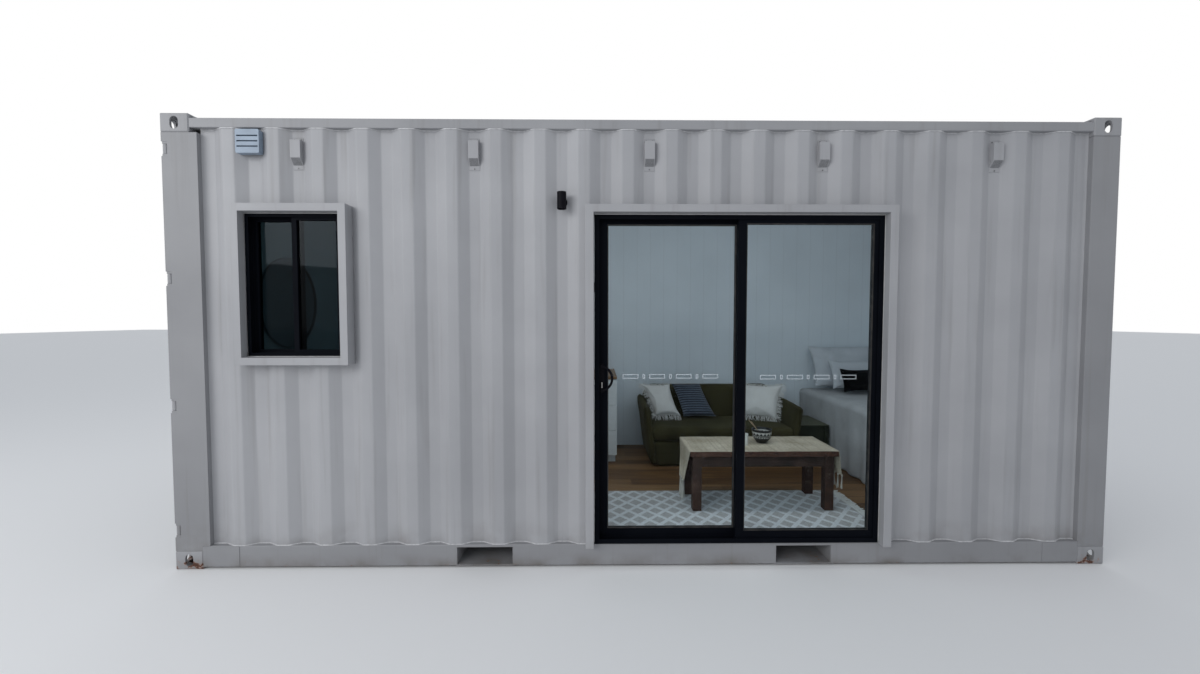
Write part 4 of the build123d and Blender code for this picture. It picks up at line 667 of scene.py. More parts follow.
# Its blue is a painted reflection of the sky on a pale cover.
exhaust_sky_blue_finish = mottled(
    "exhaust_sky_reflection_paint", (14, 5), (0.35, 0.75), (0.28, 0.35, 0.44), (0.21, 0.265, 0.335), Roughness=0.45
)
coat(exhaust_sky_blue_finish, "exhaust_vent", edge=0.002)
mesh_finish = mottled(
    "wire_mesh", (60,), (0.3, 0.7), (0.10, 0.105, 0.11), (0.20, 0.20, 0.21), Roughness=0.5, Metallic=0.6
)
wires = bmesh.new()
screws = bmesh.new()
vent_top = wall_high.z - 0.050
hood_back, hood_reach, hood_half = 0.002, 0.036, 0.026
hood_low = vent_top - 0.020 - 0.152
hood_lip = hood_low + 0.041
wire = 0.0007
screw_radius, screw_thick = 0.0042, 0.003
screw_places = ((-0.021, vent_top - 0.010), (0.021, vent_top - 0.010), (0, vent_top - 0.190))
center_y = (casting_low.y + casting_high.y) / 2


def hood_point(x, side, part, across):
    """A point on a hood's sloping underside: part of the way out, and across from its middle."""
    reach = hood_back + (hood_reach - hood_back) * part
    return (x + across, trough_face(side) + side * reach, hood_low + (hood_lip - hood_low) * part - 0.0006)


def trough_face(side):
    """The bottom of the walls' troughs, in front where side is -1 and at the back where it is 1."""
    return center_y + side * (center_y - front_crest - wall_depth)


for step in range(-2, 3):
    x = wall_center + step * 4 * wall_pitch
    for side in (-1, 1):
        for part, across in zip(spaced(0.06, 0.94, 8), spaced(-hood_half, hood_half, 8)):
            tube(wires, [hood_point(x, side, part, -hood_half), hood_point(x, side, part, hood_half)], wire, 4)
            tube(wires, [hood_point(x, side, 0.06, across), hood_point(x, side, 0.94, across)], wire, 4)
        for across, level in screw_places:
            where = Matrix.Translation((x + across, trough_face(side) + side * 0.0035, level))
            bmesh.ops.create_cone(
                screws, cap_ends=True, segments=12, radius1=screw_radius, radius2=screw_radius, depth=screw_thick,
                matrix=where @ Matrix.Rotation(pi / 2, 4, "X")
            )
fit("ventilator_mesh", wires, mesh_finish)
fit("ventilator_screws", screws, mesh_finish)

# Linings: white sheet panels with fine upright grooves, open joints between them, and a plain
# ceiling of the same.
groove_pitch = 0.150


def lining_finish(name, axis):
    """White sheet with a fine groove every groove_pitch along the axis, each groove darkened with a painted shade."""
    material, shader, place = new_finish(name, Specular_IOR_Level=0.3)
    groove_with_shade = (place.part(axis) / groove_pitch).from_half(100.5).ramp(0.018, 0.0)
    faint = place.cloud(2.2, 4)
    plain = faint.ramp(0.3, 0.75).blend((0.72, 0.77, 0.81), (0.65, 0.70, 0.74))
    feed(
        shader,
        # The grooves are darkened in colour as well as sunk, a painted shade in each.
        Base_Color=(groove_with_shade * 0.35).blend(plain, (0.30, 0.32, 0.34)),
        Roughness=0.42 + faint * 0.1,
        Normal=(1 - groove_with_shade).bump(0.5, 0.002),
    )
    return material


coat(lining_finish("lining_along", "X"), "front_lining", "back_lining", "ceiling")
coat(lining_finish("lining_across", "Y"), "end_linings")

# Floor: brown boards laid along the room, printed and sealed, on the plywood deck.
# Each board has its own shade, and a dark joint runs round it.
board_width, board_length, board_joint_width = 0.145, 1.22, 0.0015
floor_finish, shader, place = new_finish("floor_boards", Specular_IOR_Level=0.35)
board_values = {
    "Vector": place,
    "Color1": (0, 0, 0, 1),
    "Color2": (1, 1, 1, 1),
    "Mortar": (0.5, 0.5, 0.5, 1),
    "Scale": 1.0,
    "Mortar Size": board_joint_width,
    "Brick Width": board_length,
    "Row Height": board_width,
}
board_tint, board_joint = (
    place.node("ShaderNodeTexBrick", {"offset": 0.37}, board_values, output=one) for one in ("Color", "Fac")
)
wood_grain = place.drawn((1.4, 26, 26)).cloud(1.6, 7, 0.6)
mixed = wood_grain * 0.7 + place.node("ShaderNodeRGBToBW", {}, {"Color": board_tint}) * 0.3
brown = mixed.shades((0.30, (0.092, 0.046, 0.020)), (0.50, (0.215, 0.112, 0.047)), (0.72, (0.33, 0.19, 0.088)))
feed(
    shader,
    Base_Color=(board_joint * 0.8).blend(brown, (0.02, 0.012, 0.008)),
    Roughness=0.38 + wood_grain * 0.2,
    Normal=(wood_grain * 0.3 - board_joint).bump(0.3, 0.001),
)
coat(floor_finish, "floor")

# Sofa: a two-seater in olive velvet against the back wall, its arms flared and rolled over at the
# top. Base, seat, back and arms are padded frames, covered one by one and butted together.
sofa_low, sofa_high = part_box("sofa")
sofa_middle = (sofa_low.x + sofa_high.x) / 2
sofa_half = (sofa_high.x - sofa_low.x) / 2
arm_slope = 0.1301
arm_level = sofa_low.z + 0.620
arm_width = 0.066
arm_overlap = 0.012
seat_level = sofa_low.z + 0.385
seat_split = sofa_low.z + 0.250
back_face = sofa_high.y - 0.190
shoulder = 0.150
sofa_voxel = 0.024
stuffing_pressure = 4.0


def hull_form(name, points, radius, segments=4):
    """A closed form over the points with its edges rounded."""
    form = bmesh.new()
    for point in points:
        form.verts.new(point)
    bmesh.ops.convex_hull(form, input=form.verts[:])
    bmesh.ops.dissolve_limit(form, angle_limit=radians(1), verts=form.verts[:], edges=form.edges[:])
    bmesh.ops.bevel(
        form, geom=form.edges[:], offset=radius, segments=segments, affect="EDGES", profile=0.5, clamp_overlap=True
    )
    return finished(form, name)


def applied(piece):
    """Makes the piece's modifiers part of its mesh."""
    bpy.context.view_layer.update()
    graph = bpy.context.evaluated_depsgraph_get()
    mesh = bpy.data.meshes.new_from_object(piece.evaluated_get(graph))
    piece.modifiers.clear()
    piece.data = mesh


def stuffed(name, mesh, most, voxel, rounds):
    """The piece once stuffed: swollen by a cloth simulation, no point moving further than most."""
    piece = bpy.data.objects.new(name, mesh)
    scene.collection.objects.link(piece)
    if voxel:
        remesh = piece.modifiers.new("even_faces", "REMESH")
        remesh.mode = "VOXEL"
        remesh.voxel_size = voxel
        applied(piece)
    start = [one.co.copy() for one in piece.data.vertices]
    cover = piece.modifiers.new("cover", "CLOTH")
    cover.settings.use_pressure = True
    cover.settings.uniform_pressure_force = stuffing_pressure
    cover.settings.effector_weights.gravity = 0
    for step in range(1, 21):
        scene.frame_set(step)
    applied(piece)
    scene.frame_set(1)
    for vertex, before in zip(piece.data.vertices, start):
        move = vertex.co - before
        if move.length > most:
            vertex.co = before + move * (most / move.length)
    smooth = piece.modifiers.new("fine_faces", "SUBSURF")
    smooth.levels = smooth.render_levels = rounds
    applied(piece)
    piece.data.shade_smooth()
    return piece


def rumple(piece, height, size, grooves, rest):
    """Uneven cover: soft dents all over, sewn grooves at given levels, and flat where it rests."""
    normals = [vertex.normal.copy() for vertex in piece.data.vertices]
    for vertex, normal in zip(piece.data.vertices, normals):
        dent = height * noise.noise(vertex.co / size)
        for level, width, depth in grooves:
            away = abs(vertex.co.z - level)
            if away < width:
                dent -= depth * (1 - away / width)
        vertex.co += normal * dent
        if rest is not None and vertex.co.z < rest:
            vertex.co.z = rest
    piece.data.update()


def upholster(name, mesh, most, dents, finish, node, voxel=0.0, rounds=1, grooves=(), rest=None):
    """Stuffs a padded piece, rumples its cover and puts it in its place in the cabin."""
    piece = stuffed(name, mesh, most, voxel, rounds)
    rumple(piece, *dents, grooves, rest)
    piece.data.materials.clear()
    piece.data.materials.append(finish)
    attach(piece, "cabin")
    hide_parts(node)
    return piece


def woven(name, dark, light, pitch, lift, across=(1, 0, 0), up=(0, 0, 1), **constants):
    """Cloth of crossing threads, pitch apart; gives the material, its shader, place and colour."""
    material, shader, place = new_finish(name, **constants)
    weft, warp = ((place.dot(way) * (2 * pi / pitch)).wave() for way in (across, up))
    slub, worn = place.cloud(0.35 / pitch, 3), place.cloud(6, 5)
    color = (worn * 0.6 + slub * 0.4).ramp(0.35, 0.68).blend(dark, light)
    feed(shader, Base_Color=color, Normal=(weft * warp * 0.5 + slub).bump(0.55, lift))
    return material, shader, place, color


velvet, shader, place, color = woven(
    "olive_velvet", (0.026, 0.0218, 0.0100), (0.056, 0.050, 0.0205), 0.0024, 0.0008, across=(0.7, 0.7, 0),
    Sheen_Weight=0.12, Sheen_Tint=(0.55, 0.50, 0.32, 1), Sheen_Roughness=0.45, Specular_IOR_Level=0.15
)
nap = place.cloud(3.2)
rubbed_velvet = (nap.ramp(0.45, 0.62) * 0.35).blend(color, (0.078, 0.066, 0.028))
feed(shader, Base_Color=rubbed_velvet, Roughness=0.82 + nap * 0.1)


def arm_x(side, level, inset=0.0):
    """How far along the outer face of the sofa's arm is at a level, less an inset."""
    return sofa_middle + side * (sofa_half - arm_slope * (arm_level - level) - inset)


def between_arms(bottom, top, front, back):
    """Corners of a block that fills the sofa from arm to arm."""
    inset = arm_width - arm_overlap
    return [(arm_x(side, level, inset), y, level) for side in (-1, 1) for level in (bottom, top) for y in (front, back)]


def sofa_pad(name, points, radius, most, dents, voxel=sofa_voxel, segments=4, grooves=(), rest=None):
    mesh = hull_form(name, points, radius, segments)
    upholster(name, mesh, most, dents, velvet, "sofa", voxel, grooves=grooves, rest=rest)


sofa_rest = sofa_low.z + 0.003
base_points = between_arms(sofa_low.z + 0.012, seat_split - 0.006, sofa_low.y + 0.014, sofa_high.y - 0.03)
base_groove = (sofa_low.z + 0.125, 0.014, 0.006)
sofa_pad("sofa_base", base_points, 0.022, 0.008, (0.004, 0.22), grooves=[base_groove], rest=sofa_rest)
seat_points = between_arms(seat_split + 0.004, seat_level - 0.010, sofa_low.y + 0.006, back_face + 0.03)
sofa_pad("sofa_seat", seat_points, 0.036, 0.009, (0.004, 0.20))
back_points = between_arms(seat_split + 0.02, arm_level - 0.02, back_face + 0.012, sofa_high.y - 0.008)
top_half = sofa_half + 0.014 - shoulder
for x in (sofa_middle - top_half, sofa_middle + top_half):
    back_points += [(x, y, sofa_high.z - 0.010) for y in (back_face + 0.020, sofa_high.y - 0.008)]
sofa_pad("sofa_back", back_points, 0.042, 0.010, (0.004, 0.22))
arm_foot = sofa_low.z + 0.010
arm_ends = ((sofa_low.y + 0.007, arm_level - 0.033), (back_face + 0.10, arm_level - 0.006))
for side, name in ((-1, "sofa_arm_left"), (1, "sofa_arm_right")):
    arm_points = [
        (arm_x(side, level, inset), y, level)
        for inset in (0.006, arm_width + 0.004)
        for y, top in arm_ends
        for level in (arm_foot, top)
    ]
    sofa_pad(name, arm_points, 0.030, 0.009, (0.003, 0.16), sofa_voxel * 0.8, 5, rest=sofa_rest)

# Scatter cushions: two of white cotton with a knotted fringe, and a blue-grey knitted one. Each is
# two sheets sewn round the rim over a feather pad, and leans on the sofa's back.
rim_steps = 30
knit_rows, knit_height = 15, 0.0028


def grid_faces(rows, columns, first=0):
    """Faces of a net of points that starts at the point numbered first."""
    corners = [first + row * (columns + 1) + step for row in range(rows) for step in range(columns)]
    return [(here, here + 1, here + columns + 2, here + columns + 1) for here in corners]


def cushion_mesh(name, corners, thickness, pull, knitted=False):
    """Two sheets joined at the rim between four corners, half filled; a knitted one has raised rows."""
    a, b, c, d = (Vector(one) for one in corners)
    out = (b - a).cross(d - a).normalized()
    count = rim_steps * (2 if knitted else 1)
    net = [(2 * step / count - 1, 2 * row / count - 1) for row in range(count + 1) for step in range(count + 1)]
    points, faces = [], []
    for side in (1, -1):
        faces += grid_faces(count, count, len(points))
        for u, v in net:
            s = (u * (1 - pull * (1 - v * v)) + 1) / 2
            t = (v * (1 - pull * (1 - u * u)) + 1) / 2
            flat = (a * (1 - s) + b * s) * (1 - t) + (d * (1 - s) + c * s) * t
            full = max(0.0, (1 - u * u) * (1 - v * v)) ** 0.42
            knit = knit_height * abs(sin(pi * knit_rows * (v + 1) / 2)) * min(1, 6 * full) if knitted else 0
            points.append(flat + out * side * (thickness / 2 * full + knit))
    return mesh_of(name, points, faces, 180, 0.00005)


def lean_corners(place, turn, lean, outline):
    """Corners in the room of an outline drawn on a leaning, turned plane, and that plane's two ways."""
    across = Vector((cos(turn), sin(turn), 0))
    out = Vector((sin(turn) * cos(lean), -cos(turn) * cos(lean), sin(lean)))
    up = out.cross(across)
    return [Vector(place) + across * s + up * t for s, t in outline], across, up


def fringe_mesh(name, cover, corners, sides, length, spacing, seed):
    """Strands of cotton sewn to the rim of a cushion's cover along some of its four sides."""
    draw = Random(seed)
    middle = sum(corners, Vector()) / 4
    rim_points = KDTree(len(cover.data.vertices))
    for index, vertex in enumerate(cover.data.vertices):
        rim_points.insert(vertex.co, index)
    rim_points.balance()
    form = bmesh.new()
    for side in sides:
        start, end = corners[side], corners[(side + 1) % 4]
        along = end - start
        ahead = along.normalized()
        outward = ((start + end) / 2 - middle).normalized()
        for step in range(int(along.length / spacing)):
            part = (step + draw.random()) * spacing / along.length
            root = rim_points.find(start + along * part)[0]
            heading = outward + ahead * draw.uniform(-0.9, 0.9) + Vector((0, -draw.uniform(0.0, 0.6), 0))
            long = length * draw.uniform(0.55, 1.15)
            fall = ahead * draw.uniform(-0.4, 0.4) - Vector((0, 0, 0.45))
            line = [root + heading * (long * one / 4) + fall * (long * (one / 4) ** 2) for one in range(5)]
            tube(form, line, draw.uniform(0.0011, 0.0019), 4)
    return finished(form, name)


cushion_thickness = 0.105
cushion_rise = 0.388
left_lean, right_lean, right_turn = radians(32), radians(25), -radians(22)
left_y, left_z = -0.258 + back_face, seat_level + cushion_thickness / 2 * sin(left_lean)
right_y, right_z = back_face - 0.190, seat_level + cushion_thickness / 2 * sin(right_lean)
left_x = arm_x(-1, seat_level, arm_width) + 0.072
knitted_x = left_x + 0.273 + 0.025
right_x = arm_x(1, seat_level, arm_width) - 0.072 - 0.455 * cos(right_turn)
cushions = [
    ("cushion_left", (left_x, left_y, left_z), 0, left_lean,
     [(0, 0), (0.273, 0), (0.186, cushion_rise), (-0.132, cushion_rise)], (0, 3, 2)),
    ("cushion_knitted", (knitted_x, left_y, left_z), 0, left_lean,
     [(0, 0), (0.340, 0), (0.207, cushion_rise), (-0.098, cushion_rise)], ()),
    ("cushion_right", (right_x, right_y, right_z), right_turn, right_lean,
     [(0, 0), (0.455, 0), (0.507, 0.376), (0.052, 0.376)], (0, 1, 2)),
]
for name, stand, turn, lean, outline, fringed in cushions:
    corners, across, up = lean_corners(stand, turn, lean, outline)
    knitted = not fringed
    mesh = cushion_mesh(name, corners, cushion_thickness * 0.74, 0.055, knitted)
    if knitted:
        cover, shader, place, color = woven(
            "blue_wool", (0.055, 0.070, 0.098), (0.150, 0.18, 0.235), 0.011, 0.0035, across, up, Sheen_Weight=0.3
        )
        rows = (place.dot(up) - corners[0].dot(up)) * (pi * knit_rows / cushion_rise)
        stripe = place.math("ABSOLUTE", rows.wave())
        # The valleys between the raised knitted rows are painted nearly black, a painted shade.
        valley_shaded_wool = (stripe.ramp(0.90, 0.40) * 0.96).blend(color, (0.006, 0.008, 0.013))
        feed(shader, Base_Color=valley_shaded_wool, Roughness=0.9 + stripe * 0.05)
        most, dents, rounds = 0.006, (0.0, 0.09), 0
    else:
        cover = woven(
            name + "_cotton", (0.68, 0.66, 0.63), (0.84, 0.82, 0.79), 0.0032, 0.0010, across, up,
            Roughness=0.9, Sheen_Weight=0.1
        )[0]
        most, dents, rounds = 0.017, (0.003, 0.09), 1
    cushion = upholster(
        name, mesh, most, dents, cover, "scatter_cushions", rounds=rounds, rest=seat_level + 0.001
    )
    if fringed:
        strands = fringe_mesh(name + "_fringe", cushion, corners, fringed, 0.042, 0.0042, len(name))
        fit(name + "_fringe", strands, cover)

# Coffee table: dark reclaimed timber, its arrises worn to the red-brown wood and dusty on top.
# The legs are tenoned into a deep apron and the top is pegged on.
timber_finish, shader, place = new_finish("reclaimed_timber", Specular_IOR_Level=0.25)
fibre = place.drawn((2.2, 34, 9)).cloud(1.5, 8, 0.65)
blotch, scuff = place.cloud(9, 6), place.cloud(38, 6, 0.7)
browns = (fibre * 0.6 + blotch * 0.4).shades(
    (0.32, (0.009, 0.005, 0.004)), (0.50, (0.036, 0.020, 0.015)), (0.70, (0.100, 0.053, 0.037))
)
scuffed = ((scuff + blotch * 0.5).ramp(0.84, 0.95) * 0.55).blend(browns, (0.16, 0.13, 0.11))
worn_edge = place.node("ShaderNodeNewGeometry", {}, {}, output="Pointiness")
feed(
    shader,
    Base_Color=(worn_edge.ramp(0.52, 0.60) * scuff.ramp(0.35, 0.6) * 0.8).blend(scuffed, (0.20, 0.080, 0.046)),
    Roughness=0.55 + fibre * 0.25,
    Normal=(fibre + scuff * 0.5).bump(0.6, 0.0018),
)
coat(timber_finish, "coffee_table", edge=0.004)

# Runner: a natural jute weave laid along the table and over both ends, each end drawn together
# into knotted tassels.
table_low, table_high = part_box("coffee_table")
table_long = table_high.x - table_low.x
runner_low, runner_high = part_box("table_runner")
runner_width, runner_thick = 0.440, 0.0028
left_drop, right_drop = 0.262, 0.200
runner_y = (runner_low.y + runner_high.y) / 2
jute, shader, place, color = woven(
    "jute_weave", (0.44, 0.365, 0.26), (0.79, 0.70, 0.555), 0.0062, 0.0022, up=(0, 1, 0.35), Roughness=0.92
)
band_values = {"W": place.part("X"), "Scale": 42.0, "Detail": 3.0}
bands = place.node("ShaderNodeTexNoise", {"noise_dimensions": "1D"}, band_values)
feed(shader, Base_Color=(bands.ramp(0.50, 0.68) * 0.45).blend(color, (0.36, 0.295, 0.215)))


def laid_cloth(name, along, across, point, finish, thickness, node):
    """A cloth through point(one, two) for each place along and across it."""
    points = [point(one, two) for one in along for two in across]
    mesh = mesh_of(name, points, grid_faces(len(along) - 1, len(across) - 1), 180)
    piece = fit(name, mesh, finish, node)
    thick = piece.modifiers.new("thread", "SOLIDIFY")
    thick.thickness = thickness
    thick.offset = 0
    return piece


def runner_point(along, part):
    """Where a point of the runner lies: along it from the left table end, and across it from -1 to 1."""
    top_z = table_high.z + runner_thick * 0.55
    if 0 <= along <= table_long:
        ripple = 0.0007 * (1 + sin(along * 31 + part * 4))
        return Vector((table_low.x + along, runner_y + part * runner_width / 2, top_z + ripple))
    if along < 0:
        side, edge, hang, most, lean_to, flare = -1, table_low.x, -along, left_drop, 0.05, 0.010
    else:
        side, edge, hang, most, lean_to, flare = 1, table_high.x, along - table_long, right_drop, -0.70, 0.034
    share = min(1, hang / most)
    narrow = 1 - 0.62 * share
    y = runner_y + (part * narrow + lean_to * (1 - narrow)) * runner_width / 2
    fold = (0.004 + 0.016 * share) * (1 + cos(part * 9 + 0.8)) / 2 + flare * share
    bend = min(1, hang / 0.008)
    return Vector((edge + side * (runner_thick * 0.6 * bend + fold * bend), y, top_z - hang + 0.004 * bend))


stops = spaced(-left_drop, 0, 30)[:-1] + [-0.004, -0.0015] + spaced(0, table_long, 110)
stops += [table_long + 0.0015, table_long + 0.004] + spaced(table_long, table_long + right_drop, 24)[1:]
runner = laid_cloth(
    "table_runner_cloth", stops, spaced(-1, 1, 36), runner_point, jute, runner_thick, "table_runner"
)
draw = Random(5)
form = bmesh.new()
tufts, strands, knot_long = 6, 11, 0.012
for stop, long in ((stops[0], 0.165), (stops[-1], 0.110)):
    for tuft in range(tufts):
        root = runner_point(stop, -0.85 + 1.7 * tuft / (tufts - 1))
        root.z += 0.004
        tube(form, [root, root - Vector((0, 0, knot_long))], 0.0052, 8)
        for strand in range(strands):
            swing = Vector((draw.uniform(-0.010, 0.010), draw.uniform(-0.011, 0.011), 0))
            reach = long * draw.uniform(0.8, 1.0)
            line = [root + swing * (one / 4) ** 1.5 - Vector((0, 0, 0.008 + reach * one / 4)) for one in range(5)]
            tube(form, line, 0.0015, 4)
tassel_cotton = mottled("tassel_cotton", (220,), (0.3, 0.7), (0.60, 0.55, 0.47), (0.82, 0.79, 0.73), Roughness=0.9)
tassels = fit("table_runner_tassels", form, tassel_cotton)

# Bowl: thrown stoneware with a black glaze, white teeth and dashes painted round it, and two
# peeled sticks standing in it.
bowl_low, bowl_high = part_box("bowl")
bowl_center = (bowl_low + bowl_high) / 2
teeth_round, dashes_round = 16, 22
glaze, shader, place = new_finish("stoneware_glaze", Specular_IOR_Level=0.5)
turn = place.math("ARCTAN2", place.part("Y") - bowl_center.y, place.part("X") - bowl_center.x) / (2 * pi)
share = (place.part("Z") - bowl_low.z) / (bowl_high.z - bowl_low.z)
tooth = (turn * teeth_round).from_half() * 2
teeth = (share - tooth * 0.17).ramp(0.60, 0.62) * share.ramp(0.84, 0.82)
dashes = (turn * dashes_round).from_half().ramp(0.30, 0.27) * share.ramp(0.40, 0.42) * share.ramp(0.50, 0.48)
line_round = share.ramp(0.53, 0.545) * share.ramp(0.575, 0.56)
speck = place.cloud(130, 3)
painted = (teeth | dashes | line_round) * speck.ramp(0.30, 0.42)
feed(
    shader,
    Base_Color=painted.blend((0.010, 0.009, 0.009), (0.55, 0.53, 0.49)),
    Roughness=0.32 + painted * 0.3,
    Normal=(speck + painted).bump(0.3, 0.0006),
)
coat(glaze, "bowl", edge=0.0015)
stick_finish = mottled("peeled_wood", (60, 4), (0.35, 0.7), (0.46, 0.34, 0.21), (0.30, 0.20, 0.11), Roughness=0.6)
form = bmesh.new()
for foot, lean_x, lean_y, long in ((0.020, -0.105, 0.010, 0.185), (0.004, -0.085, -0.016, 0.165)):
    start = Vector((bowl_center.x + foot, bowl_center.y, bowl_low.z + 0.034))
    heading = Vector((lean_x, lean_y, 0.125)).normalized()
    knotty = [Vector((0.0018 * sin(one * 2.1), 0.0015 * cos(one * 1.7), 0)) for one in range(7)]
    tube(form, [start + heading * (long * one / 6) + knot for one, knot in enumerate(knotty)], 0.0034, 8)
fit("bowl_sticks", form, stick_finish)

# Candle: white wax in a frosted glass, burnt down a little at the wick.
# The wick is a short black thread that leans over at its end.
wax = mottled(
    "candle_wax", (25,), (0.3, 0.7), (0.80, 0.78, 0.72), (0.66, 0.63, 0.56),
    rough=(0.35, 0.15), Coat_Weight=0.5, Coat_Roughness=0.15
)
coat(wax, "candle", edge=0.002)
candle_low, candle_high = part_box("candle")
candle_center = (candle_low + candle_high) / 2
form = bmesh.new()
wick_foot = candle_high.z - 0.004
wick = [(candle_center.x + 0.0003 * one * one, candle_center.y, wick_foot + 0.004 * one) for one in range(4)]
tube(form, wick, 0.0011, 6)
fit("candle_wick", form, seal_finish)

# Rug: a flat-woven rug with a white diamond lattice on grey-brown, fringed at its right end.
# It lies loose on the boards and lifts a little in places.
rug_low, rug_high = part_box("rug")
rug_wide, rug_long = rug_high.y - rug_low.y, rug_high.x - rug_low.x
rug_thick = 0.0055
diamond_long, diamond_wide, diamond_line, diamond_blur = 0.137, 0.160, 0.145, 0.03
rug_finish, shader, place = new_finish("rug_wool", Roughness=0.95, Sheen_Weight=0.15, Specular_IOR_Level=0.1)
rug_x, rug_y = place.part("X"), place.part("Y")
tufted = place.cloud(85, 4)
lattice_edge = 0.5 - diamond_line
ways = []
for sign in (1, -1):
    skew = rug_x / diamond_long + rug_y * (sign / diamond_wide) + tufted * 0.10
    ways.append(skew.from_half().ramp(lattice_edge - diamond_blur, lattice_edge + diamond_blur))
lattice = ways[0] | ways[1]
pile = (rug_x * (2 * pi / 0.0070)).wave() * (rug_y * (2 * pi / 0.0050)).wave()
shaded = tufted.ramp(0.35, 0.65)
ground_tone = shaded.blend((0.44, 0.42, 0.41), (0.58, 0.565, 0.555))
white_tone = shaded.blend((0.74, 0.74, 0.74), (0.86, 0.86, 0.86))
rug_height = pile * 0.4 + tufted + lattice * 0.5
feed(shader, Base_Color=lattice.blend(ground_tone, white_tone), Normal=rug_height.bump(0.7, 0.002))
rug_columns, rug_rows = 150, 54


def rug_point(column, row):
    """Where a point of the rug lies; its two long edges sway a little."""
    x = rug_low.x + rug_long * column / rug_columns
    y = rug_low.y + rug_wide * row / rug_rows
    lift = max(0, noise.noise(Vector((x * 2.3, y * 3.1, 7.0)))) * 0.0035
    sway = 0.004 * noise.noise(Vector((x * 2.0, 0.0, 3.0))) if row in (0, rug_rows) else 0
    y = min(max(y + sway, rug_low.y), rug_high.y)
    return (x, y, rug_low.z + rug_thick / 2 + 0.0004 + lift * 0.6)


rug = laid_cloth(
    "rug_cloth", range(rug_columns + 1), range(rug_rows + 1), rug_point, rug_finish, rug_thick, "rug"
)
fringe_finish = mottled("rug_fringe", (240,), (0.3, 0.7), (0.68, 0.67, 0.64), (0.84, 0.83, 0.80), Roughness=0.95)
draw = Random(9)
form = bmesh.new()
fringe_step, fringe_level = 0.0085, rug_low.z + 0.0040
for step in range(int(rug_wide / fringe_step)):
    y = rug_low.y + 0.003 + step * fringe_step
    reach = draw.uniform(0.055, 0.080)
    sway = draw.uniform(-0.022, 0.022)
    curl = draw.uniform(-0.006, 0.006)
    across = [y + sway * (one / 6) ** 2 + curl * sin(one * 1.4) for one in range(7)]
    along = spaced(rug_high.x - 0.004, rug_high.x - 0.004 + reach, 6)
    tube(form, [(*one, fringe_level) for one in zip(along, across)], 0.0034, 5)
fringe = fit("rug_fringe", form, fringe_finish)

# Side table: a dark green painted box on a low foot, its whole top coloured a lighter grey-green. The lighter colour
# stops at the edge of the top board.
side_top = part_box("side_table")[1].z
board, shader, place = new_finish("green_board", Specular_IOR_Level=0.3)
board_mottle = place.cloud(14, 6)
# The top is coloured lighter than the sides all over.
top_share = place.part("Z").ramp(side_top - 0.006, side_top - 0.001) * (0.7 + board_mottle * 0.3)
green = board_mottle.ramp(0.3, 0.75).blend((0.012, 0.016, 0.009), (0.026, 0.031, 0.017))
feed(shader, Base_Color=top_share.blend(green, (0.105, 0.105, 0.066)), Roughness=0.5 + board_mottle * 0.2)
coat(board, "side_table", edge=0.003)

# Cabinet: white laminate carcass with a timber worktop, two doors and three drawers in front.
# The fronts stand a little apart over a plinth, each with a black bar handle.
cabinet_low, cabinet_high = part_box("kitchen_cabinet")
cabinet_wide = cabinet_high.x - cabinet_low.x
worktop = 0.030
worktop_under = cabinet_high.z - worktop
laminate, shader, place = new_finish("white_laminate", Specular_IOR_Level=0.4)
oak = place.drawn((2, 30, 30)).cloud(2, 6)
oak_tone = oak.ramp(0.3, 0.7).blend((0.16, 0.085, 0.04), (0.30, 0.18, 0.09))
white_board = oak.ramp(0.2, 0.8).blend((0.66, 0.68, 0.68), (0.72, 0.74, 0.74))
at_top = place.part("Z").ramp(worktop_under - 0.0005, worktop_under + 0.0005)
feed(shader, Base_Color=at_top.blend(white_board, oak_tone), Roughness=0.35 + oak * 0.15)
coat(laminate, "kitchen_cabinet", edge=0.0015)
front_thick, front_gap, plinth = 0.018, 0.003, 0.090
bar_half, bar_stand, bar_drop = 0.07, 0.024, 0.05
fronts = bmesh.new()
bars = bmesh.new()
front_face = cabinet_low.y - front_thick
front_low, front_top = cabinet_low.z + plinth, worktop_under - 0.004
for column in range(3):
    x0 = cabinet_low.x + cabinet_wide * column / 3 + front_gap / 2
    x1 = cabinet_low.x + cabinet_wide * (column + 1) / 3 - front_gap / 2
    middle = (x0 + x1) / 2
    splits = spaced(front_low, front_top, 3 if column == 2 else 1)
    for bottom, top in zip(splits, splits[1:]):
        z0, z1 = bottom + front_gap / 2, top - front_gap / 2
        block(fronts, (x0, front_face, z0), (x1, cabinet_low.y - 0.0003, z1))
        bar = ((-bar_half, 0), (-bar_half, bar_stand), (bar_half, bar_stand), (bar_half, 0))
        tube(bars, [(middle + along, front_face - out, z1 - bar_drop) for along, out in bar], 0.005, 8)
fit("kitchen_cabinet_fronts", fronts, laminate)
fit("kitchen_cabinet_handles", bars, fitting_finish)

# Bed: a padded divan in the back corner, its pale grey spread hanging to the floor on both open
# sides and gathered in soft folds at the corner.
bed_low, bed_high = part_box("bed")
divan_foot, divan_top, divan_right = bed_low.z + 0.006, bed_high.z - 0.016, bed_high.x - 0.008
divan_section = (
    (bed_low.x + 0.045, divan_foot), (divan_right, divan_foot), (bed_low.x + 0.016, divan_top), (divan_right, divan_top)
)
divan_points = [(x, y, z) for x, z in divan_section for y in (bed_low.y + 0.045, bed_high.y - 0.008)]
bed_cloth = woven(
    "bed_cotton", (0.36, 0.36, 0.365), (0.52, 0.52, 0.525), 0.0036, 0.0012, (0.7, 0.7, 0), (0.5, -0.5, 0.7),
    Roughness=0.9, Sheen_Weight=0.1
)[0]
upholster(
    "bed_divan", hull_form("bed_divan", divan_points, 0.045), 0.004, (0.002, 0.3), bed_cloth, "bed",
    voxel=0.040, rest=bed_low.z + 0.002
)
bend_radius = 0.050
bend_length = bend_radius * pi / 2
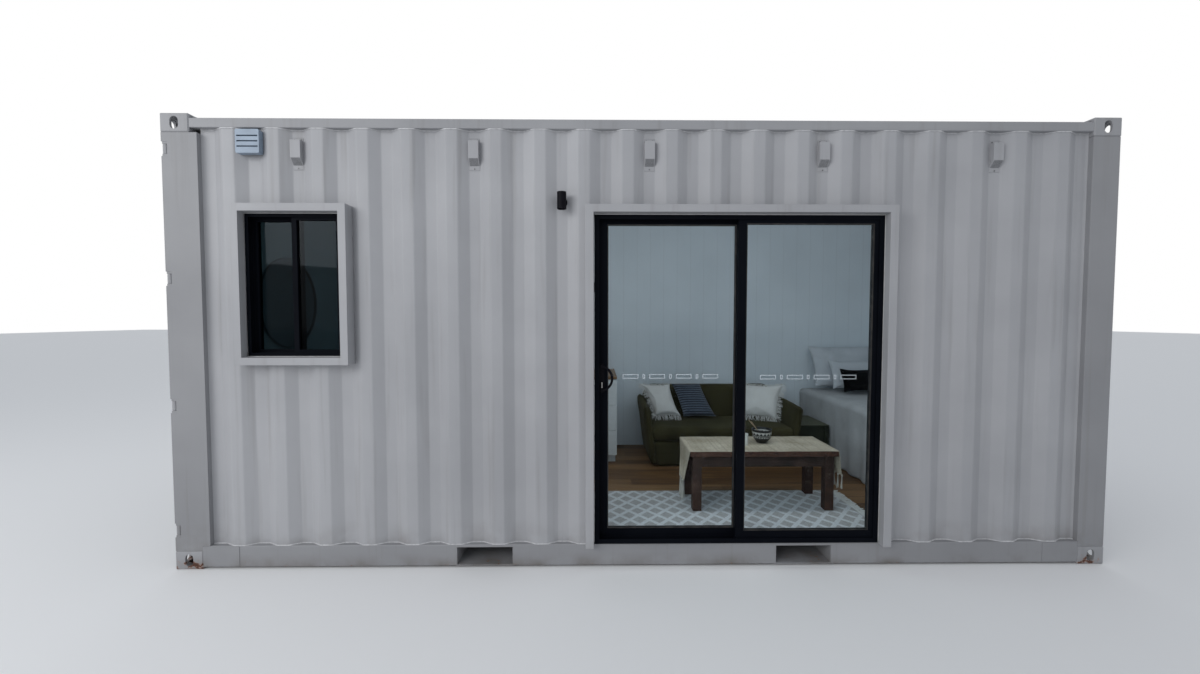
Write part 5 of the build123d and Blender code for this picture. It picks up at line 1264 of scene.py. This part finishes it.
spread_top = bed_high.z - 0.003
bend_x, bend_y = bed_low.x + 0.005 + bend_radius, bed_low.y + 0.005 + bend_radius
spread_drop = bend_length + spread_top - bend_radius - (bed_low.z + 0.014)
spread_wide = divan_right - bend_x
spread_long = bed_high.y - 0.010 - bend_y
fold_reach, fold_pitch, fold_depth = 0.25, 0.23, 0.030


def spread_point(p, q):
    """Where a point of the spread lies: p and q are flat distances in from the two bent edges."""
    down_x, down_y = max(0, -p), max(0, -q)
    hang = max(down_x, down_y)
    if down_x and down_y:
        corner_turn = atan2(down_y, down_x)
        fold_at, inward = -fold_reach * corner_turn, Vector((cos(corner_turn), sin(corner_turn)))
    elif down_x:
        fold_at, inward = q, Vector((1, 0))
    elif down_y:
        fold_at, inward = -fold_reach * pi / 2 - p, Vector((0, 1))
    else:
        crease = noise.noise(Vector((p * 3.1, q * 2.2, 1.0))) * 0.0035
        crease += noise.noise(Vector((p * 9, q * 7, 5.0))) * 0.0012
        return Vector((bend_x + p, bend_y + q, spread_top - 0.003 + min(0.003, crease)))
    bend = min(hang / bend_radius, pi / 2)
    fall = max(0, hang - bend_length)
    share = fall / (spread_drop - bend_length)
    uneven = 1.6 * noise.noise(Vector((fold_at * 2.2, 2.0, share * 0.6)))
    wave = (1 + sin(fold_at * 2 * pi / fold_pitch + uneven)) / 2
    at = Vector((bend_x + max(0, p), bend_y + max(0, q)))
    at += inward * (fold_depth * share**0.6 * wave - bend_radius * sin(bend))
    return Vector((at.x, at.y, spread_top - 0.003 - bend_radius * (1 - cos(bend)) - fall))


spread = laid_cloth(
    "bed_spread", spaced(-spread_drop, spread_wide, 90), spaced(-spread_drop, spread_long, 150), spread_point,
    bed_cloth, 0.0035, "bed"
)

# Pillows: two feather pillows in white cotton and a short black bolster, leaning on each other.
# Each is sewn and filled as the scatter cushions are.
pillow_lean = radians(24)
white_percale = ((0.45, 0.47, 0.50), (0.60, 0.62, 0.65))
black_percale = ((0.0006, 0.0006, 0.0009), (0.0016, 0.0016, 0.002))
pillows = [
    ("pillow_back", bed_low.x + 0.050, 0.2104, 0.720, 0.510, 0.130, white_percale),
    ("pillow_front", bed_low.x + 0.166, 0.3557, 0.720, 0.352, 0.130, white_percale),
    ("bolster", bed_low.x + 0.210, 0.5011, 0.440, 0.270, 0.110, black_percale),
]
for name, x, forward, wide, tall, thickness, shades in pillows:
    half = thickness / 2
    foot = (x, bed_high.y - forward - cos(pillow_lean) * half, bed_high.z + sin(pillow_lean) * half)
    corners, across, up = lean_corners(foot, 0, pillow_lean, [(0, 0), (wide, 0), (wide, tall), (0, tall)])
    percale = woven(name + "_cotton", *shades, 0.0028, 0.0008, up=up, Roughness=0.88, Specular_IOR_Level=0.1)[0]
    upholster(
        name, cushion_mesh(name, corners, thickness * 0.72, 0.045), 0.018, (0.004, 0.11), percale,
        "pillows", rest=bed_high.z + 0.0015
    )

# Wall mirror: a round dark mirror in a thin black rim.
# It hangs flat on the lining of the cargo-door end.
mirror_low, mirror_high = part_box("wall_mirror")
mirror_finish = mottled(
    "mirror_face", (4, 4), (0.3, 0.7), (0.34, 0.36, 0.38), (0.42, 0.44, 0.46), rough=(0.06, 0.10), Metallic=1.0
)
coat(mirror_finish, "wall_mirror")
form = bmesh.new()
rim = (mirror_high.z - mirror_low.z) / 2 - 0.004
rim_points = 72
mirror_center = (mirror_low + mirror_high) / 2
turns = [2 * pi * one / rim_points for one in range(rim_points)]
circle = [(mirror_high.x - 0.005, mirror_center.y + rim * cos(one), mirror_center.z + rim * sin(one)) for one in turns]
tube(form, circle, 0.0055, 8, closed=True)
fit("wall_mirror_rim", form, fitting_finish)

# Light inside: the photograph's room is lit through the door, so one soft lamp near the ceiling
# behind the doorway stands for the bright ground outside.
room_lamp = soft_lamp("room_lamp", 4.6, 0.5, 20, (0.2, casting_low.y + 0.40, 2.62), (0.2, 0.45, 0.35))
room_lamp.visible_camera = room_lamp.visible_glossy = room_lamp.visible_transmission = False
